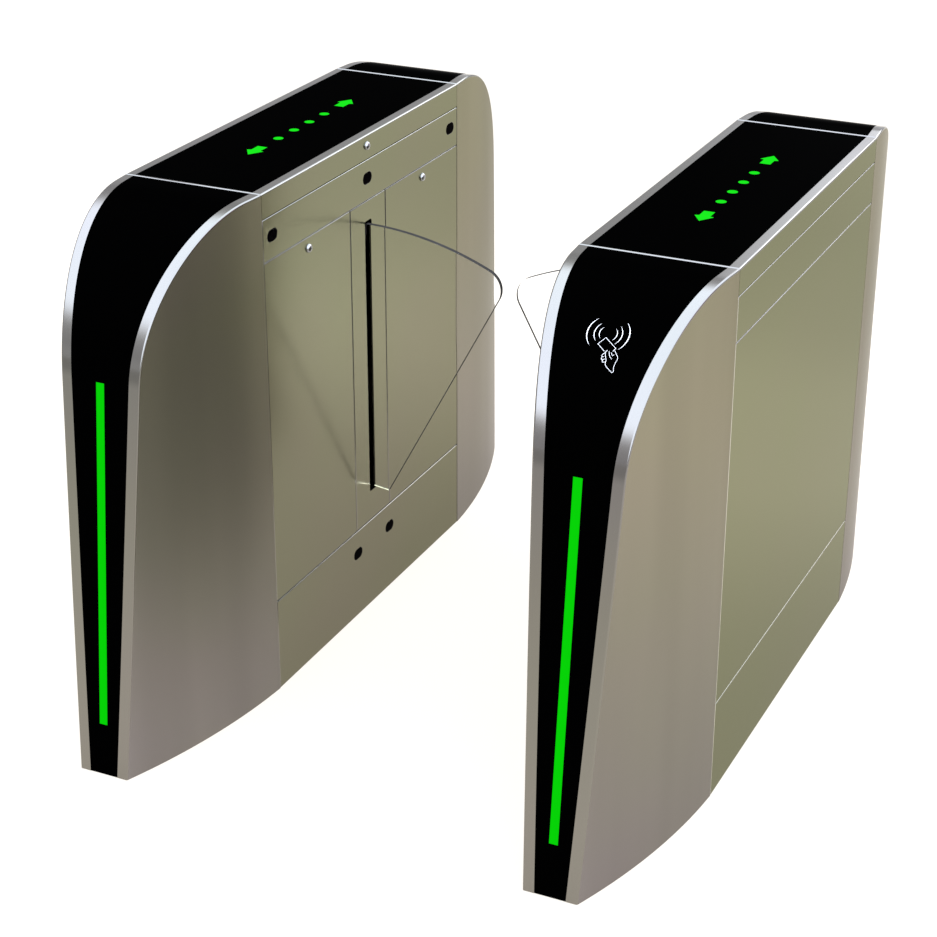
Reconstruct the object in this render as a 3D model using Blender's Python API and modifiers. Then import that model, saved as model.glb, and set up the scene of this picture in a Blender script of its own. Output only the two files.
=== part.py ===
"""Flap barrier turnstile: two sheet steel cabinets with curved tapered ends and a clear flap each.

Units are metres, +Z is up. The origin is on the floor in the middle of the lane, X crosses the lane
and Y runs along it. Each cabinet is modelled in its own frame, with its lane side towards +X, and the
right cabinet is the left one turned half a turn.
"""
import math

import bmesh
import bpy
from mathutils import Matrix

# Overall sizes of the pair
HEIGHT = 1.000
CABINET_WIDTH = 0.280
LANE_WIDTH = 0.600
MIDDLE_LENGTH = 0.800
END_LENGTH = 0.4025

# Curved ends: width at the tip, and the two arcs that shape them
NOSE_WIDTH = 0.098
PLAN_START_ANGLE = math.radians(3.65)
PROFILE_RUN = 0.0373
PROFILE_LEAN = math.radians(6.06)

# Sheet metal, and the clearances between pieces
SHEET = 0.002
FIT_GAP = 0.0003
SEAM_GAP = 0.002
BAND_GAP = 0.001
EDGE_GAP = 0.0015
SHELL_OFFSET = 0.0005
FOOT_GAP = 0.001
OVERRUN = 0.010
TRIM_WIDTH = 0.019
STRIP_THICKNESS = 0.004
LID_END_LIP = 0.003
FLANGE_WIDTH = 0.025
FLANGE_HEAD = 0.030

# Heights of the side's bands
LID_DEPTH = 0.048
SENSOR_BAND_HEIGHT = 0.081
BASE_BAND_HEIGHT = 0.191
TRAY_DEPTH = 0.0145
SLOT_PANEL_WIDTH = 0.146
GROOVE_DEPTH = 0.0012
GROOVE_WIDTH = 0.0012

# Slot for the flap
SLOT_WIDTH = 0.025
SLOT_HEAD_DROP = 0.042
SLOT_FOOT_RISE = 0.066
SLOT_CORNER = 0.004

# Welded frame
FLOOR_PLATE = 0.006
FRAME_DEPTH = 0.010
CORNER_POST = 0.025
TOP_RAIL = 0.083
TOP_RAIL_HEAD = 0.007
RAIL_LAP = 0.009
BOTTOM_RAIL = 0.035
SLOT_POST_INNER = 0.0665
SLOT_POST_OUTER = 0.085
TIE_SIZE = 0.020
WELD_LAP = 0.001
MERGE_DISTANCE = 0.000001
ANCHOR_RADIUS = 0.007
ANCHOR_INSET = 0.150
ANCHOR_STEP = 0.0375
ANCHOR_SPREAD = 0.052
CABLE_ENTRY_RADIUS = 0.030
CABLE_ENTRY_OFFSET = 0.290

# Flap of clear sheet
FLAP_THICKNESS = 0.010
FLAP_TIP_GAP = 0.0326
FLAP_RADIUS = 0.6465
FLAP_ARC_INSET = 0.004
FLAP_HEAD_GAP = 0.0055
FLAP_CORNER = 0.040
FLAP_EDGE_ANGLE = math.radians(28.2)
FLAP_FOOT_RISE = 0.005
FLAP_FOOT_SLOPE = 0.007
FLAP_FOOT_INSET = 0.016
FLAP_TAIL_INSET = 0.0035
FLAP_TONGUE_WIDTH = 0.040
FLAP_TAIL_HEIGHT = 0.300

# Flap shaft, its arm and lever
PIVOT_INSET = 0.034
PIVOT_HEIGHT = 0.090
SHAFT_RADIUS = 0.010
SHAFT_OVERHANG = 0.002
HUB_RADIUS = 0.0175
CHEEK_THICKNESS = 0.005
CHEEK_HEIGHT = 0.150
CHEEK_CHAMFER = 0.006
TONGUE_SEAT = 0.0235
LEVER_LENGTH = 0.040
LEVER_REST_ANGLE = math.radians(16.0)
LEVER_THICKNESS = 0.010
LEVER_END_RADIUS = 0.009
FLAP_SWING = math.radians(21.0)

# Drive: bracket, gearmotor, crank, link and stop
BRACKET_PLATE = 0.008
BRACKET_BASE = 0.006
BRACKET_HEAD = 0.040
BRACKET_BACK_MARGIN = 0.042
BEARING_PLATE_WIDTH = 0.046
BEARING_GAP = 0.0003
PLATE_OFFSET = 0.060
LEVER_PLATE_GAP = 0.004
LINK_GAP = 0.004
MOTOR_SETBACK = 0.0812
LINK_THICKNESS = 0.010
LINK_HALF_WIDTH = 0.008
PIN_RADIUS = 0.004
MOTOR_SHAFT_RADIUS = 0.006
MOTOR_BOSS_RADIUS = 0.016
MOTOR_BOSS_LENGTH = 0.006
GEARBOX_RADIUS = 0.028
GEARBOX_LENGTH = 0.058
MOTOR_RADIUS = 0.025
MOTOR_LENGTH = 0.090
MOTOR_CAP_RADIUS = 0.018
MOTOR_CAP_LENGTH = 0.012
CRANK_HUB_RADIUS = 0.014
STOP_ARM = 0.0075
STOP_DROP = 0.002

# Trunnion pins that the doors and the lid turn on
TRUNNION_INSET = 0.004
TRUNNION_RADIUS = 0.0016
TRUNNION_GAP = 0.0004
DOOR_LIP_RELIEF = 0.0025

# Cam locks
LOCK_HEAD_RADIUS = 0.0085
LOCK_HEAD_RISE = 0.003
LOCK_RIM = 0.0012
LOCK_BARREL_RADIUS = 0.006
LOCK_BARREL_GAP = 0.0003
LOCK_DOME_SHARES = ((0.55, 0.90), (0.85, 0.60))
KEYWAY_WIDTH = 0.0016
KEYWAY_LENGTH = 0.008
KEYWAY_DEPTH = 0.002
CAM_THICKNESS = 0.003
CAM_CLEARANCE = 0.003
CAM_HALF_WIDTH = 0.006
DOOR_CAM_LENGTH = 0.028
LID_CAM_LENGTH = 0.045
DOOR_LOCK_DROP = 0.022
LID_LOCK_RISE = 0.027

# Infrared sensor windows
SENSOR_LENGTH = 0.033
SENSOR_HEIGHT = 0.020
SENSOR_PROUD = 0.0004
SENSOR_RAIL_THICKNESS = 0.006
SENSOR_RAIL_REACH = 0.001
SENSOR_RAIL_MARGIN = 0.003
UPPER_SENSOR_INSET = 0.034
LOWER_SENSOR_SPAN = 0.070
UPPER_SENSOR_DROP = 0.037
LOWER_SENSOR_HEIGHT = 0.140

# Light strips in the ends, and the lights in the lid
LIGHT_WIDTH = 0.0164
LIGHT_FOOT = 0.1005
LIGHT_HEAD_DROP = 0.2585
GUIDE_WIDTH = 0.044
GUIDE_LENGTH = 0.423
GUIDE_THICKNESS = 0.008
ARROW_TIP = 0.2045
ARROW_WING = 0.1775
ARROW_NECK = 0.1745
ARROW_TAIL = 0.150
ARROW_HALF_HEAD = 0.0178
ARROW_HALF_SHAFT = 0.0102
DOT_RADIUS = 0.0097
DOT_SPACING = 0.0605
DOT_COUNT = 4

# Controller box and card reader
CONTROLLER_WIDTH = 0.090
CONTROLLER_LENGTH = 0.200
CONTROLLER_HEIGHT = 0.150
CONTROLLER_SETBACK = 0.120
CONTROLLER_BEVEL = 0.004
COVER_INSET = 0.008
COVER_RISE = 0.006
READER_WIDTH = 0.090
READER_LENGTH = 0.070
READER_THICKNESS = 0.012
READER_ANGLE = math.radians(50.9)
READER_BEVEL = 0.002

# Fineness of the round shapes
PLAN_STEPS = 8
PROFILE_STEPS = 16
FLAP_STEPS = 16
ROUND_STEPS = 16
CORNER_STEPS = 4

# Places worked out from the sizes above
HALF_WIDTH = CABINET_WIDTH / 2
SEAM = MIDDLE_LENGTH / 2
END = SEAM + END_LENGTH
PROFILE_START = SEAM + PROFILE_RUN
PROFILE_RADIUS = ((END - PROFILE_START) * math.cos(PROFILE_LEAN) - HEIGHT * math.sin(PROFILE_LEAN)
                  ) / (1 - math.sin(PROFILE_LEAN))
CABINET_OFFSET = LANE_WIDTH / 2 + HALF_WIDTH
SHELL_START = SEAM + SHELL_OFFSET
MIDDLE_END = SHELL_START - EDGE_GAP
STRIP_SEAT = STRIP_THICKNESS + FIT_GAP
WEB_DEPTH = STRIP_SEAT + SHEET
LID_LINE = HEIGHT - LID_DEPTH
SENSOR_LINE = LID_LINE - SENSOR_BAND_HEIGHT
BASE_LINE = BASE_BAND_HEIGHT
TRAY_BACK = HALF_WIDTH - TRAY_DEPTH
FRAME_FACE = TRAY_BACK - FIT_GAP
FRAME_INSIDE = FRAME_FACE - FRAME_DEPTH
FRAME_END = SHELL_START - FIT_GAP
RAIL_HEAD = LID_LINE - TOP_RAIL_HEAD
RAIL_FOOT = SENSOR_LINE - RAIL_LAP
SLOT_HEAD = SENSOR_LINE - SLOT_HEAD_DROP
SLOT_FOOT = BASE_LINE + SLOT_FOOT_RISE
SLOT_EDGE = SLOT_PANEL_WIDTH / 2 - EDGE_GAP / 2
DOOR_EDGE = SLOT_PANEL_WIDTH / 2 + EDGE_GAP / 2
DOOR_FOOT = BASE_LINE + SEAM_GAP / 2
DOOR_HEAD = SENSOR_LINE - BAND_GAP / 2
LID_FOOT = LID_LINE + SEAM_GAP / 2
TRUNNION_X = HALF_WIDTH - TRUNNION_INSET
DOOR_TRUNNION_Z = DOOR_FOOT + TRUNNION_INSET
LID_TRUNNION_Z = LID_FOOT + TRUNNION_INSET
PIVOT_X = HALF_WIDTH - PIVOT_INSET
MOTOR_X = MOTOR_SETBACK - FRAME_INSIDE
PIN_DX = -LEVER_LENGTH * math.sin(LEVER_REST_ANGLE)
PIN_Z = PIVOT_HEIGHT - LEVER_LENGTH * math.cos(LEVER_REST_ANGLE)
PLATE_INNER = PLATE_OFFSET - BRACKET_PLATE / 2
PLATE_OUTER = PLATE_OFFSET + BRACKET_PLATE / 2
BRACKET_EDGE = FRAME_FACE - FIT_GAP
BRACKET_FOOT = FLOOR_PLATE + FIT_GAP
BRACKET_FLOOR = BRACKET_FOOT + BRACKET_BASE
BRACKET_TOP = PIVOT_HEIGHT + BRACKET_HEAD
LEVER_LOW_Y = -PLATE_INNER + LEVER_PLATE_GAP
LEVER_HIGH_Y = LEVER_LOW_Y + LEVER_THICKNESS
LINK_LOW_Y = LEVER_HIGH_Y + LINK_GAP
LINK_HIGH_Y = LINK_LOW_Y + LINK_THICKNESS
CHEEK_OUTER = FLAP_THICKNESS / 2 + FIT_GAP + CHEEK_THICKNESS
CAM_X = FRAME_INSIDE - CAM_CLEARANCE

# Colour, roughness and metallic value of each finish
FINISHES = {
    "brushed_steel": ((0.46, 0.45, 0.40), 0.32, 1.0),
    "frame_steel": ((0.20, 0.21, 0.22), 0.55, 0.6),
    "black_gloss": ((0.004, 0.004, 0.005), 0.06, 0.0),
    "green_light": ((0.02, 0.75, 0.03), 0.35, 0.0),
    "sensor_black": ((0.010, 0.008, 0.010), 0.12, 0.0),
    "clear_sheet": ((0.88, 0.93, 0.92), 0.05, 0.0),
    "machined": ((0.62, 0.62, 0.63), 0.30, 1.0),
    "chrome": ((0.80, 0.80, 0.81), 0.12, 1.0),
    "motor_black": ((0.05, 0.05, 0.055), 0.45, 0.3),
    "rubber": ((0.02, 0.02, 0.02), 0.85, 0.0),
    "case_grey": ((0.55, 0.56, 0.57), 0.50, 0.0),
}


def clear_scene():
    for old in list(bpy.data.objects):
        bpy.data.objects.remove(old, do_unlink=True)


def finish_material(name, finish):
    colour, roughness, metallic = FINISHES[finish]
    material = bpy.data.materials.new(name)
    material.use_nodes = True
    shader = material.node_tree.nodes["Principled BSDF"]
    shader.inputs["Base Color"].default_value = (*colour, 1.0)
    shader.inputs["Roughness"].default_value = roughness
    shader.inputs["Metallic"].default_value = metallic
    material.diffuse_color = (*colour, 1.0)
    return material


def object_from(bm, name="piece"):
    bmesh.ops.recalc_face_normals(bm, faces=bm.faces)
    mesh = bpy.data.meshes.new(name)
    bm.to_mesh(mesh)
    bm.free()
    piece = bpy.data.objects.new(name, mesh)
    bpy.context.scene.collection.objects.link(piece)
    return piece


def baked(piece):
    """Replace a piece by the welded mesh that its curve or its modifiers give."""
    depsgraph = bpy.context.evaluated_depsgraph_get()
    mesh = bpy.data.meshes.new_from_object(piece.evaluated_get(depsgraph))
    bm = bmesh.new()
    bm.from_mesh(mesh)
    bmesh.ops.transform(bm, matrix=piece.matrix_world, verts=bm.verts)
    bmesh.ops.remove_doubles(bm, verts=bm.verts, dist=MERGE_DISTANCE)
    bpy.data.meshes.remove(mesh)
    bpy.data.objects.remove(piece, do_unlink=True)
    return object_from(bm)


def box(low, high):
    bm = bmesh.new()
    bmesh.ops.create_cube(bm, size=1.0)
    size = [h - l for l, h in zip(low, high)]
    centre = [(h + l) / 2 for l, h in zip(low, high)]
    bmesh.ops.transform(bm, matrix=Matrix.Translation(centre) @ Matrix.Diagonal((*size, 1.0)), verts=bm.verts)
    return object_from(bm)


def plane_turn(plane):
    """Rotation that lays a flat outline's own two axes along the named pair of axes."""
    if plane == "XZ":
        return Matrix.Rotation(math.pi / 2, 4, "X")
    if plane == "YZ":
        return Matrix.Rotation(math.pi / 2, 4, "Z") @ Matrix.Rotation(math.pi / 2, 4, "X")
    return Matrix.Identity(4)


def plate(plane, outline, low, high, holes=()):
    """Flat outline in the plane's two axes, filled and made solid from low to high across it."""
    curve = bpy.data.curves.new("outline", "CURVE")
    curve.dimensions = "2D"
    curve.fill_mode = "BOTH"
    curve.extrude = (high - low) / 2
    for loop in (outline, *holes):
        spline = curve.splines.new("POLY")
        spline.points.add(len(loop) - 1)
        for point, (a, b) in zip(spline.points, loop):
            point.co = (a, b, 0.0, 1.0)
        spline.use_cyclic_u = True
    piece = bpy.data.objects.new("outline", curve)
    bpy.context.scene.collection.objects.link(piece)
    across = [0.0 if axis in plane else (low + high) / 2 for axis in "XYZ"]
    piece.matrix_world = Matrix.Translation(across) @ plane_turn(plane)
    bpy.context.view_layer.update()
    return baked(piece)


def turned(profile, axis, centre, steps=ROUND_STEPS):
    """Profile of (radius, place along the axis) turned about an axis through the centre."""
    bm = bmesh.new()
    verts = [bm.verts.new((radius, 0.0, along)) for radius, along in profile]
    for first, second in zip(verts, verts[1:]):
        bm.edges.new((first, second))
    mesh = bpy.data.meshes.new("profile")
    bm.to_mesh(mesh)
    bm.free()
    piece = bpy.data.objects.new("profile", mesh)
    bpy.context.scene.collection.objects.link(piece)
    screw = piece.modifiers.new("turn", "SCREW")
    screw.steps = steps
    screw.render_steps = steps
    screw.use_merge_vertices = True
    screw.merge_threshold = MERGE_DISTANCE
    turn = {"X": Matrix.Rotation(math.pi / 2, 4, "Y"), "Y": Matrix.Rotation(-math.pi / 2, 4, "X")}[axis]
    piece.matrix_world = Matrix.Translation(centre) @ turn
    bpy.context.view_layer.update()
    return baked(piece)


def rod(axis, centre, radius, low, high, steps=ROUND_STEPS):
    """Round bar or bore along X or Y, from low to high past the centre's own place."""
    return turned([(0.0, high), (radius, high), (radius, low), (0.0, low)], axis, centre, steps)


def combine(piece, others, operation):
    for other in others:
        boolean = piece.modifiers.new("join", "BOOLEAN")
        boolean.operation = operation
        boolean.solver = "EXACT"
        boolean.object = other
        bpy.context.view_layer.update()
        piece = baked(piece)
        bpy.data.objects.remove(other, do_unlink=True)
    return piece


def joined(piece, *others):
    return combine(piece, others, "UNION")


def cut(piece, *others):
    return combine(piece, others, "DIFFERENCE")


def common(piece, other):
    return combine(piece, (other,), "INTERSECT")


def bevelled(piece, width, segments=1):
    bevel = piece.modifiers.new("edges", "BEVEL")
    bevel.width = width
    bevel.segments = segments
    bevel.limit_method = "ANGLE"
    bpy.context.view_layer.update()
    return baked(piece)


def arc(centre, radius, start, stop, steps):
    """Points of an arc, both ends included, from one angle to the other."""
    angles = [start + (stop - start) * i / steps for i in range(steps + 1)]
    return [(centre[0] + radius * math.cos(a), centre[1] + radius * math.sin(a)) for a in angles]


def circle(centre, radius):
    return arc(centre, radius, 0.0, 2 * math.pi, ROUND_STEPS)[:-1]


def rectangle(low_a, high_a, low_b, high_b):
    return [(low_a, low_b), (high_a, low_b), (high_a, high_b), (low_a, high_b)]


def rounded_rectangle(low_a, high_a, low_b, high_b, radius, steps=CORNER_STEPS):
    centres = [(high_a - radius, low_b + radius), (high_a - radius, high_b - radius),
               (low_a + radius, high_b - radius), (low_a + radius, low_b + radius)]
    points = []
    for i, centre in enumerate(centres):
        start = (i - 1) * math.pi / 2
        points += arc(centre, radius, start, start + math.pi / 2, steps)
    return points


def capsule(centre, length, height, steps=CORNER_STEPS):
    """Oval with straight sides and half round ends, its length along the first axis."""
    reach = (length - height) / 2
    right = arc((centre[0] + reach, centre[1]), height / 2, -math.pi / 2, math.pi / 2, steps)
    left = arc((centre[0] - reach, centre[1]), height / 2, math.pi / 2, 3 * math.pi / 2, steps)
    return right + left


def profile_line(depth, start, foot):
    """Side outline of a curved end, sunk by depth: level top, arc, then the leaning front."""
    radius = PROFILE_RADIUS - depth
    lean = PROFILE_LEAN
    centre = (PROFILE_START, HEIGHT - PROFILE_RADIUS)
    points = [(start, HEIGHT - depth)]
    points += arc(centre, radius, math.pi / 2, lean, PROFILE_STEPS)
    last_u, last_z = points[-1]
    points.append((last_u + (last_z - foot) * math.tan(lean), foot))
    return points


def profile_solid(end, depth, start, foot, half_width):
    outline = profile_line(depth, start, foot) + [(start, foot)]
    return plate("YZ", [(end * u, z) for u, z in outline], -half_width, half_width)


def profile_band(end, outer, inner, start, foot, half_width):
    outline = profile_line(outer, start, foot) + profile_line(inner, start, foot)[::-1]
    return plate("YZ", [(end * u, z) for u, z in outline], -half_width, half_width)


def plan_arc():
    """Centre and radius of the plan curve that narrows a cabinet from its seam to its nose."""
    run = END - SEAM
    drop = HALF_WIDTH - NOSE_WIDTH / 2
    chord = math.hypot(run, drop)
    radius = chord / (2 * math.sin(math.atan2(drop, run) - PLAN_START_ANGLE))
    centre_x = HALF_WIDTH - radius * math.cos(PLAN_START_ANGLE)
    centre_u = SEAM - radius * math.sin(PLAN_START_ANGLE)
    return centre_x, centre_u, radius


def plan_half(inset, start, stop):
    centre_x, centre_u, radius = plan_arc()
    radius -= inset
    first = math.asin((start - centre_u) / radius)
    last = math.asin((stop - centre_u) / radius)
    return arc((centre_x, centre_u), radius, first, last, PLAN_STEPS)


def plan_solid(end, inset, start, stop, low, high):
    half = plan_half(inset, start, stop)
    outline = half + [(-x, u) for x, u in half[::-1]]
    return plate("XY", [(x, end * u) for x, u in outline], low, high)


def trunnion_hole(side, y, z):
    reach = SHEET + OVERRUN
    return rod("Y", (side * TRUNNION_X, y, z), TRUNNION_RADIUS + TRUNNION_GAP, -reach, reach, CORNER_STEPS * 2)


def end_shell(end):
    """Curved end: side walls narrow in plan, the top follows the profile, a pocket takes the strip."""
    past = END + OVERRUN
    above = HEIGHT + OVERRUN
    shell = common(plan_solid(end, 0.0, SHELL_START, past, -OVERRUN, above),
                   profile_solid(end, 0.0, SHELL_START, FOOT_GAP, CABINET_WIDTH))
    hollow_start = SHELL_START + SHEET
    hollow = common(plan_solid(end, SHEET, hollow_start, past, -OVERRUN, above),
                    profile_solid(end, WEB_DEPTH, hollow_start, -OVERRUN / 2, CABINET_WIDTH))
    pocket_start = SHELL_START - OVERRUN / 2
    pocket = common(plan_solid(end, TRIM_WIDTH, pocket_start, past, -OVERRUN, above),
                    profile_band(end, -OVERRUN, STRIP_SEAT, pocket_start, -OVERRUN / 2, CABINET_WIDTH))
    window_half = HALF_WIDTH - FLANGE_WIDTH
    window_ends = sorted((end * (SHELL_START - OVERRUN), end * (hollow_start + OVERRUN)))
    window = box((-window_half, window_ends[0], -OVERRUN), (window_half, window_ends[1], HEIGHT - FLANGE_HEAD))
    foot_half = HALF_WIDTH - SHEET - FIT_GAP
    foot = box((-foot_half, window_ends[0], -OVERRUN), (foot_half, window_ends[1], FLOOR_PLATE + FIT_GAP))
    door_hole = trunnion_hole(1, end * SHELL_START, DOOR_TRUNNION_Z)
    lid_hole = trunnion_hole(-1, end * SHELL_START, LID_TRUNNION_Z)
    return cut(shell, hollow, pocket, window, foot, door_hole, lid_hole)


def light_zone(end, gap):
    half = LIGHT_WIDTH / 2 - gap
    reach = sorted((end * SEAM, end * (END + OVERRUN)))
    return box((-half, reach[0], LIGHT_FOOT + gap), (half, reach[1], HEIGHT - LIGHT_HEAD_DROP - gap))


def end_strip(end):
    """Black strip that follows the curved end between the two bright trims."""
    foot = FOOT_GAP + FIT_GAP
    strip = common(plan_solid(end, TRIM_WIDTH + FIT_GAP, SHELL_START, END + OVERRUN, -OVERRUN, HEIGHT + OVERRUN),
                   profile_band(end, 0.0, STRIP_THICKNESS, SHELL_START, foot, CABINET_WIDTH))
    return cut(strip, light_zone(end, 0.0))


def end_light(end):
    bar = profile_band(end, 0.0, STRIP_THICKNESS, SHELL_START, FOOT_GAP, CABINET_WIDTH)
    return common(bar, light_zone(end, FIT_GAP))


def lid_shell():
    """Folded lid: two skirts, end walls, bright trims either side of the pocket for its panel."""
    shell = box((-HALF_WIDTH, -MIDDLE_END, LID_FOOT), (HALF_WIDTH, MIDDLE_END, HEIGHT))
    inner = HALF_WIDTH - SHEET
    inner_end = MIDDLE_END - SHEET
    hollow = box((-inner, -inner_end, LID_FOOT - OVERRUN), (inner, inner_end, HEIGHT - WEB_DEPTH))
    pocket_half = HALF_WIDTH - TRIM_WIDTH
    pocket_end = MIDDLE_END - LID_END_LIP
    pocket = box((-pocket_half, -pocket_end, HEIGHT - STRIP_SEAT), (pocket_half, pocket_end, HEIGHT + OVERRUN))
    guide_half = GUIDE_WIDTH / 2 + FIT_GAP
    guide_end = GUIDE_LENGTH / 2 + FIT_GAP
    window = box((-guide_half, -guide_end, HEIGHT - WEB_DEPTH - OVERRUN), (guide_half, guide_end, HEIGHT))
    bore = rod("X", (HALF_WIDTH, 0.0, LID_LINE + LID_LOCK_RISE), LOCK_BARREL_RADIUS + LOCK_BARREL_GAP,
               -OVERRUN, OVERRUN)
    shell = cut(shell, hollow, pocket, window, bore)
    pins = [rod("Y", (-TRUNNION_X, 0.0, LID_TRUNNION_Z), TRUNNION_RADIUS, low, high, CORNER_STEPS * 2)
            for low, high in ((-SHELL_START - SHEET, -inner_end), (inner_end, SHELL_START + SHEET))]
    return joined(shell, *pins)


def arrow_outline(end, gap):
    half_head = ARROW_HALF_HEAD - gap * 2
    half_shaft = ARROW_HALF_SHAFT - gap
    half = [(0.0, ARROW_TIP - gap * 2), (half_head, ARROW_WING + gap), (half_shaft, ARROW_NECK + gap),
            (half_shaft, ARROW_TAIL + gap)]
    outline = half + [(-x, y) for x, y in half[:0:-1]]
    return [(x, end * y) for x, y in outline]


def dot_outline(index, gap):
    y = (index - (DOT_COUNT - 1) / 2) * DOT_SPACING
    return circle((0.0, y), DOT_RADIUS - gap)


def lid_light_outlines(gap):
    arrows = [arrow_outline(end, gap) for end in (-1, 1)]
    dots = [dot_outline(index, gap) for index in range(DOT_COUNT)]
    return arrows + dots


def lid_panel():
    half = HALF_WIDTH - TRIM_WIDTH - FIT_GAP
    end = MIDDLE_END - LID_END_LIP - FIT_GAP
    return plate("XY", rectangle(-half, half, -end, end), HEIGHT - STRIP_THICKNESS, HEIGHT, lid_light_outlines(0.0))


def lid_lights():
    """Light guide under the lid's panel, whose raised arrows and dots fill the panel's windows."""
    seat = HEIGHT - STRIP_SEAT
    guide = box((-GUIDE_WIDTH / 2, -GUIDE_LENGTH / 2, seat - GUIDE_THICKNESS),
                (GUIDE_WIDTH / 2, GUIDE_LENGTH / 2, seat))
    marks = [plate("XY", outline, seat - GUIDE_THICKNESS / 2, HEIGHT) for outline in lid_light_outlines(FIT_GAP)]
    return joined(guide, *marks)


def tray(side, low_y, high_y, low_z, high_z):
    """Folded panel with a return on all four sides, its face on the cabinet's side plane."""
    xs = sorted((side * TRAY_BACK, side * HALF_WIDTH))
    body = box((xs[0], low_y, low_z), (xs[1], high_y, high_z))
    inner = sorted((side * (TRAY_BACK - OVERRUN), side * (HALF_WIDTH - SHEET)))
    hollow = box((inner[0], low_y + SHEET, low_z + SHEET), (inner[1], high_y - SHEET, high_z - SHEET))
    return cut(body, hollow)


def upper_sensor_places():
    span = SEAM - UPPER_SENSOR_INSET
    return [(y, LID_LINE - UPPER_SENSOR_DROP) for y in (-span, 0.0, span)]


def lower_sensor_places():
    return [(y, LOWER_SENSOR_HEIGHT) for y in (-LOWER_SENSOR_SPAN, LOWER_SENSOR_SPAN)]


def sensor_windows(places, gap, low_x, high_x):
    return [plate("YZ", capsule(place, SENSOR_LENGTH - 2 * gap, SENSOR_HEIGHT - 2 * gap), low_x, high_x)
            for place in places]


def sensor_band():
    band = tray(1, -MIDDLE_END, MIDDLE_END, SENSOR_LINE + BAND_GAP / 2, LID_LINE - SEAM_GAP / 2)
    return cut(band, *sensor_windows(upper_sensor_places(), 0.0, TRAY_BACK, HALF_WIDTH + OVERRUN))


def base_band():
    band = tray(1, -MIDDLE_END, MIDDLE_END, FOOT_GAP, BASE_LINE - SEAM_GAP / 2)
    return cut(band, *sensor_windows(lower_sensor_places(), 0.0, TRAY_BACK, HALF_WIDTH + OVERRUN))


def sensor_set(places):
    """Dark windows, one piece with the rail behind them."""
    face = HALF_WIDTH - SHEET - FIT_GAP
    reach = max(y for y, z in places) + SENSOR_LENGTH / 2 + SENSOR_RAIL_REACH
    height = places[0][1]
    half = SENSOR_HEIGHT / 2 + SENSOR_RAIL_MARGIN
    rail = box((face - SENSOR_RAIL_THICKNESS, -reach, height - half), (face, reach, height + half))
    windows = sensor_windows(places, FIT_GAP, face - SENSOR_RAIL_THICKNESS / 2, HALF_WIDTH + SENSOR_PROUD)
    return joined(rail, *windows)


def slot_panel():
    panel = tray(1, -SLOT_EDGE, SLOT_EDGE, DOOR_FOOT, DOOR_HEAD)
    half = SLOT_WIDTH / 2
    slot = plate("YZ", rounded_rectangle(-half, half, SLOT_FOOT, SLOT_HEAD, SLOT_CORNER),
                 TRAY_BACK, HALF_WIDTH + OVERRUN)
    holes = [trunnion_hole(1, side * SLOT_EDGE, DOOR_TRUNNION_Z) for side in (-1, 1)]
    return cut(panel, slot, *holes)


def door_lock_place(end):
    return end * (DOOR_EDGE + MIDDLE_END) / 2, SENSOR_LINE - DOOR_LOCK_DROP


def door(end):
    """Access door: a tray that tilts out on two pins at its foot."""
    low, high = sorted((end * DOOR_EDGE, end * MIDDLE_END))
    panel = tray(1, low, high, DOOR_FOOT, DOOR_HEAD)
    relief = box((TRAY_BACK - OVERRUN, low - OVERRUN, DOOR_FOOT - OVERRUN),
                 (TRAY_BACK + DOOR_LIP_RELIEF, high + OVERRUN, DOOR_TRUNNION_Z))
    lock_y, lock_z = door_lock_place(end)
    bore = rod("X", (HALF_WIDTH, lock_y, lock_z), LOCK_BARREL_RADIUS + LOCK_BARREL_GAP, -OVERRUN, OVERRUN)
    panel = cut(panel, relief, bore)
    seam_pin = sorted((end * (MIDDLE_END - SHEET / 2), end * (SHELL_START + SHEET)))
    slot_pin = sorted((end * (DOOR_EDGE + SHEET / 2), end * (SLOT_EDGE - SHEET)))
    pins = [rod("Y", (TRUNNION_X, 0.0, DOOR_TRUNNION_Z), TRUNNION_RADIUS, *reach, CORNER_STEPS * 2)
            for reach in (seam_pin, slot_pin)]
    return joined(panel, *pins)


def cam_lock(y, z, cam_length, direction):
    """Cam lock: domed head with a keyway, barrel, and a cam that lies sideways when unlocked."""
    back = CAM_X - HALF_WIDTH
    face = LOCK_HEAD_RISE
    profile = [(0.0, face)]
    profile += [(LOCK_HEAD_RADIUS * wide, face * high) for wide, high in LOCK_DOME_SHARES]
    profile += [(LOCK_HEAD_RADIUS, LOCK_RIM), (LOCK_HEAD_RADIUS, FIT_GAP), (LOCK_BARREL_RADIUS, FIT_GAP)]
    profile += [(LOCK_BARREL_RADIUS, back), (0.0, back)]
    lock = turned(profile, "X", (HALF_WIDTH, y, z))
    keyway = box((HALF_WIDTH + face - KEYWAY_DEPTH, y - KEYWAY_WIDTH / 2, z - KEYWAY_LENGTH / 2),
                 (HALF_WIDTH + face + OVERRUN, y + KEYWAY_WIDTH / 2, z + KEYWAY_LENGTH / 2))
    lock = cut(lock, keyway)
    reach = cam_length - CAM_HALF_WIDTH
    bar = arc((y, z), CAM_HALF_WIDTH + WELD_LAP, math.pi / 2, 3 * math.pi / 2, CORNER_STEPS)
    bar += arc((y + reach, z), CAM_HALF_WIDTH, -math.pi / 2, math.pi / 2, CORNER_STEPS)
    bar = [(y + direction * (a - y), b) for a, b in bar]
    cam = plate("YZ", bar, CAM_X - CAM_THICKNESS, CAM_X + WELD_LAP)
    return joined(lock, cam)


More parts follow.
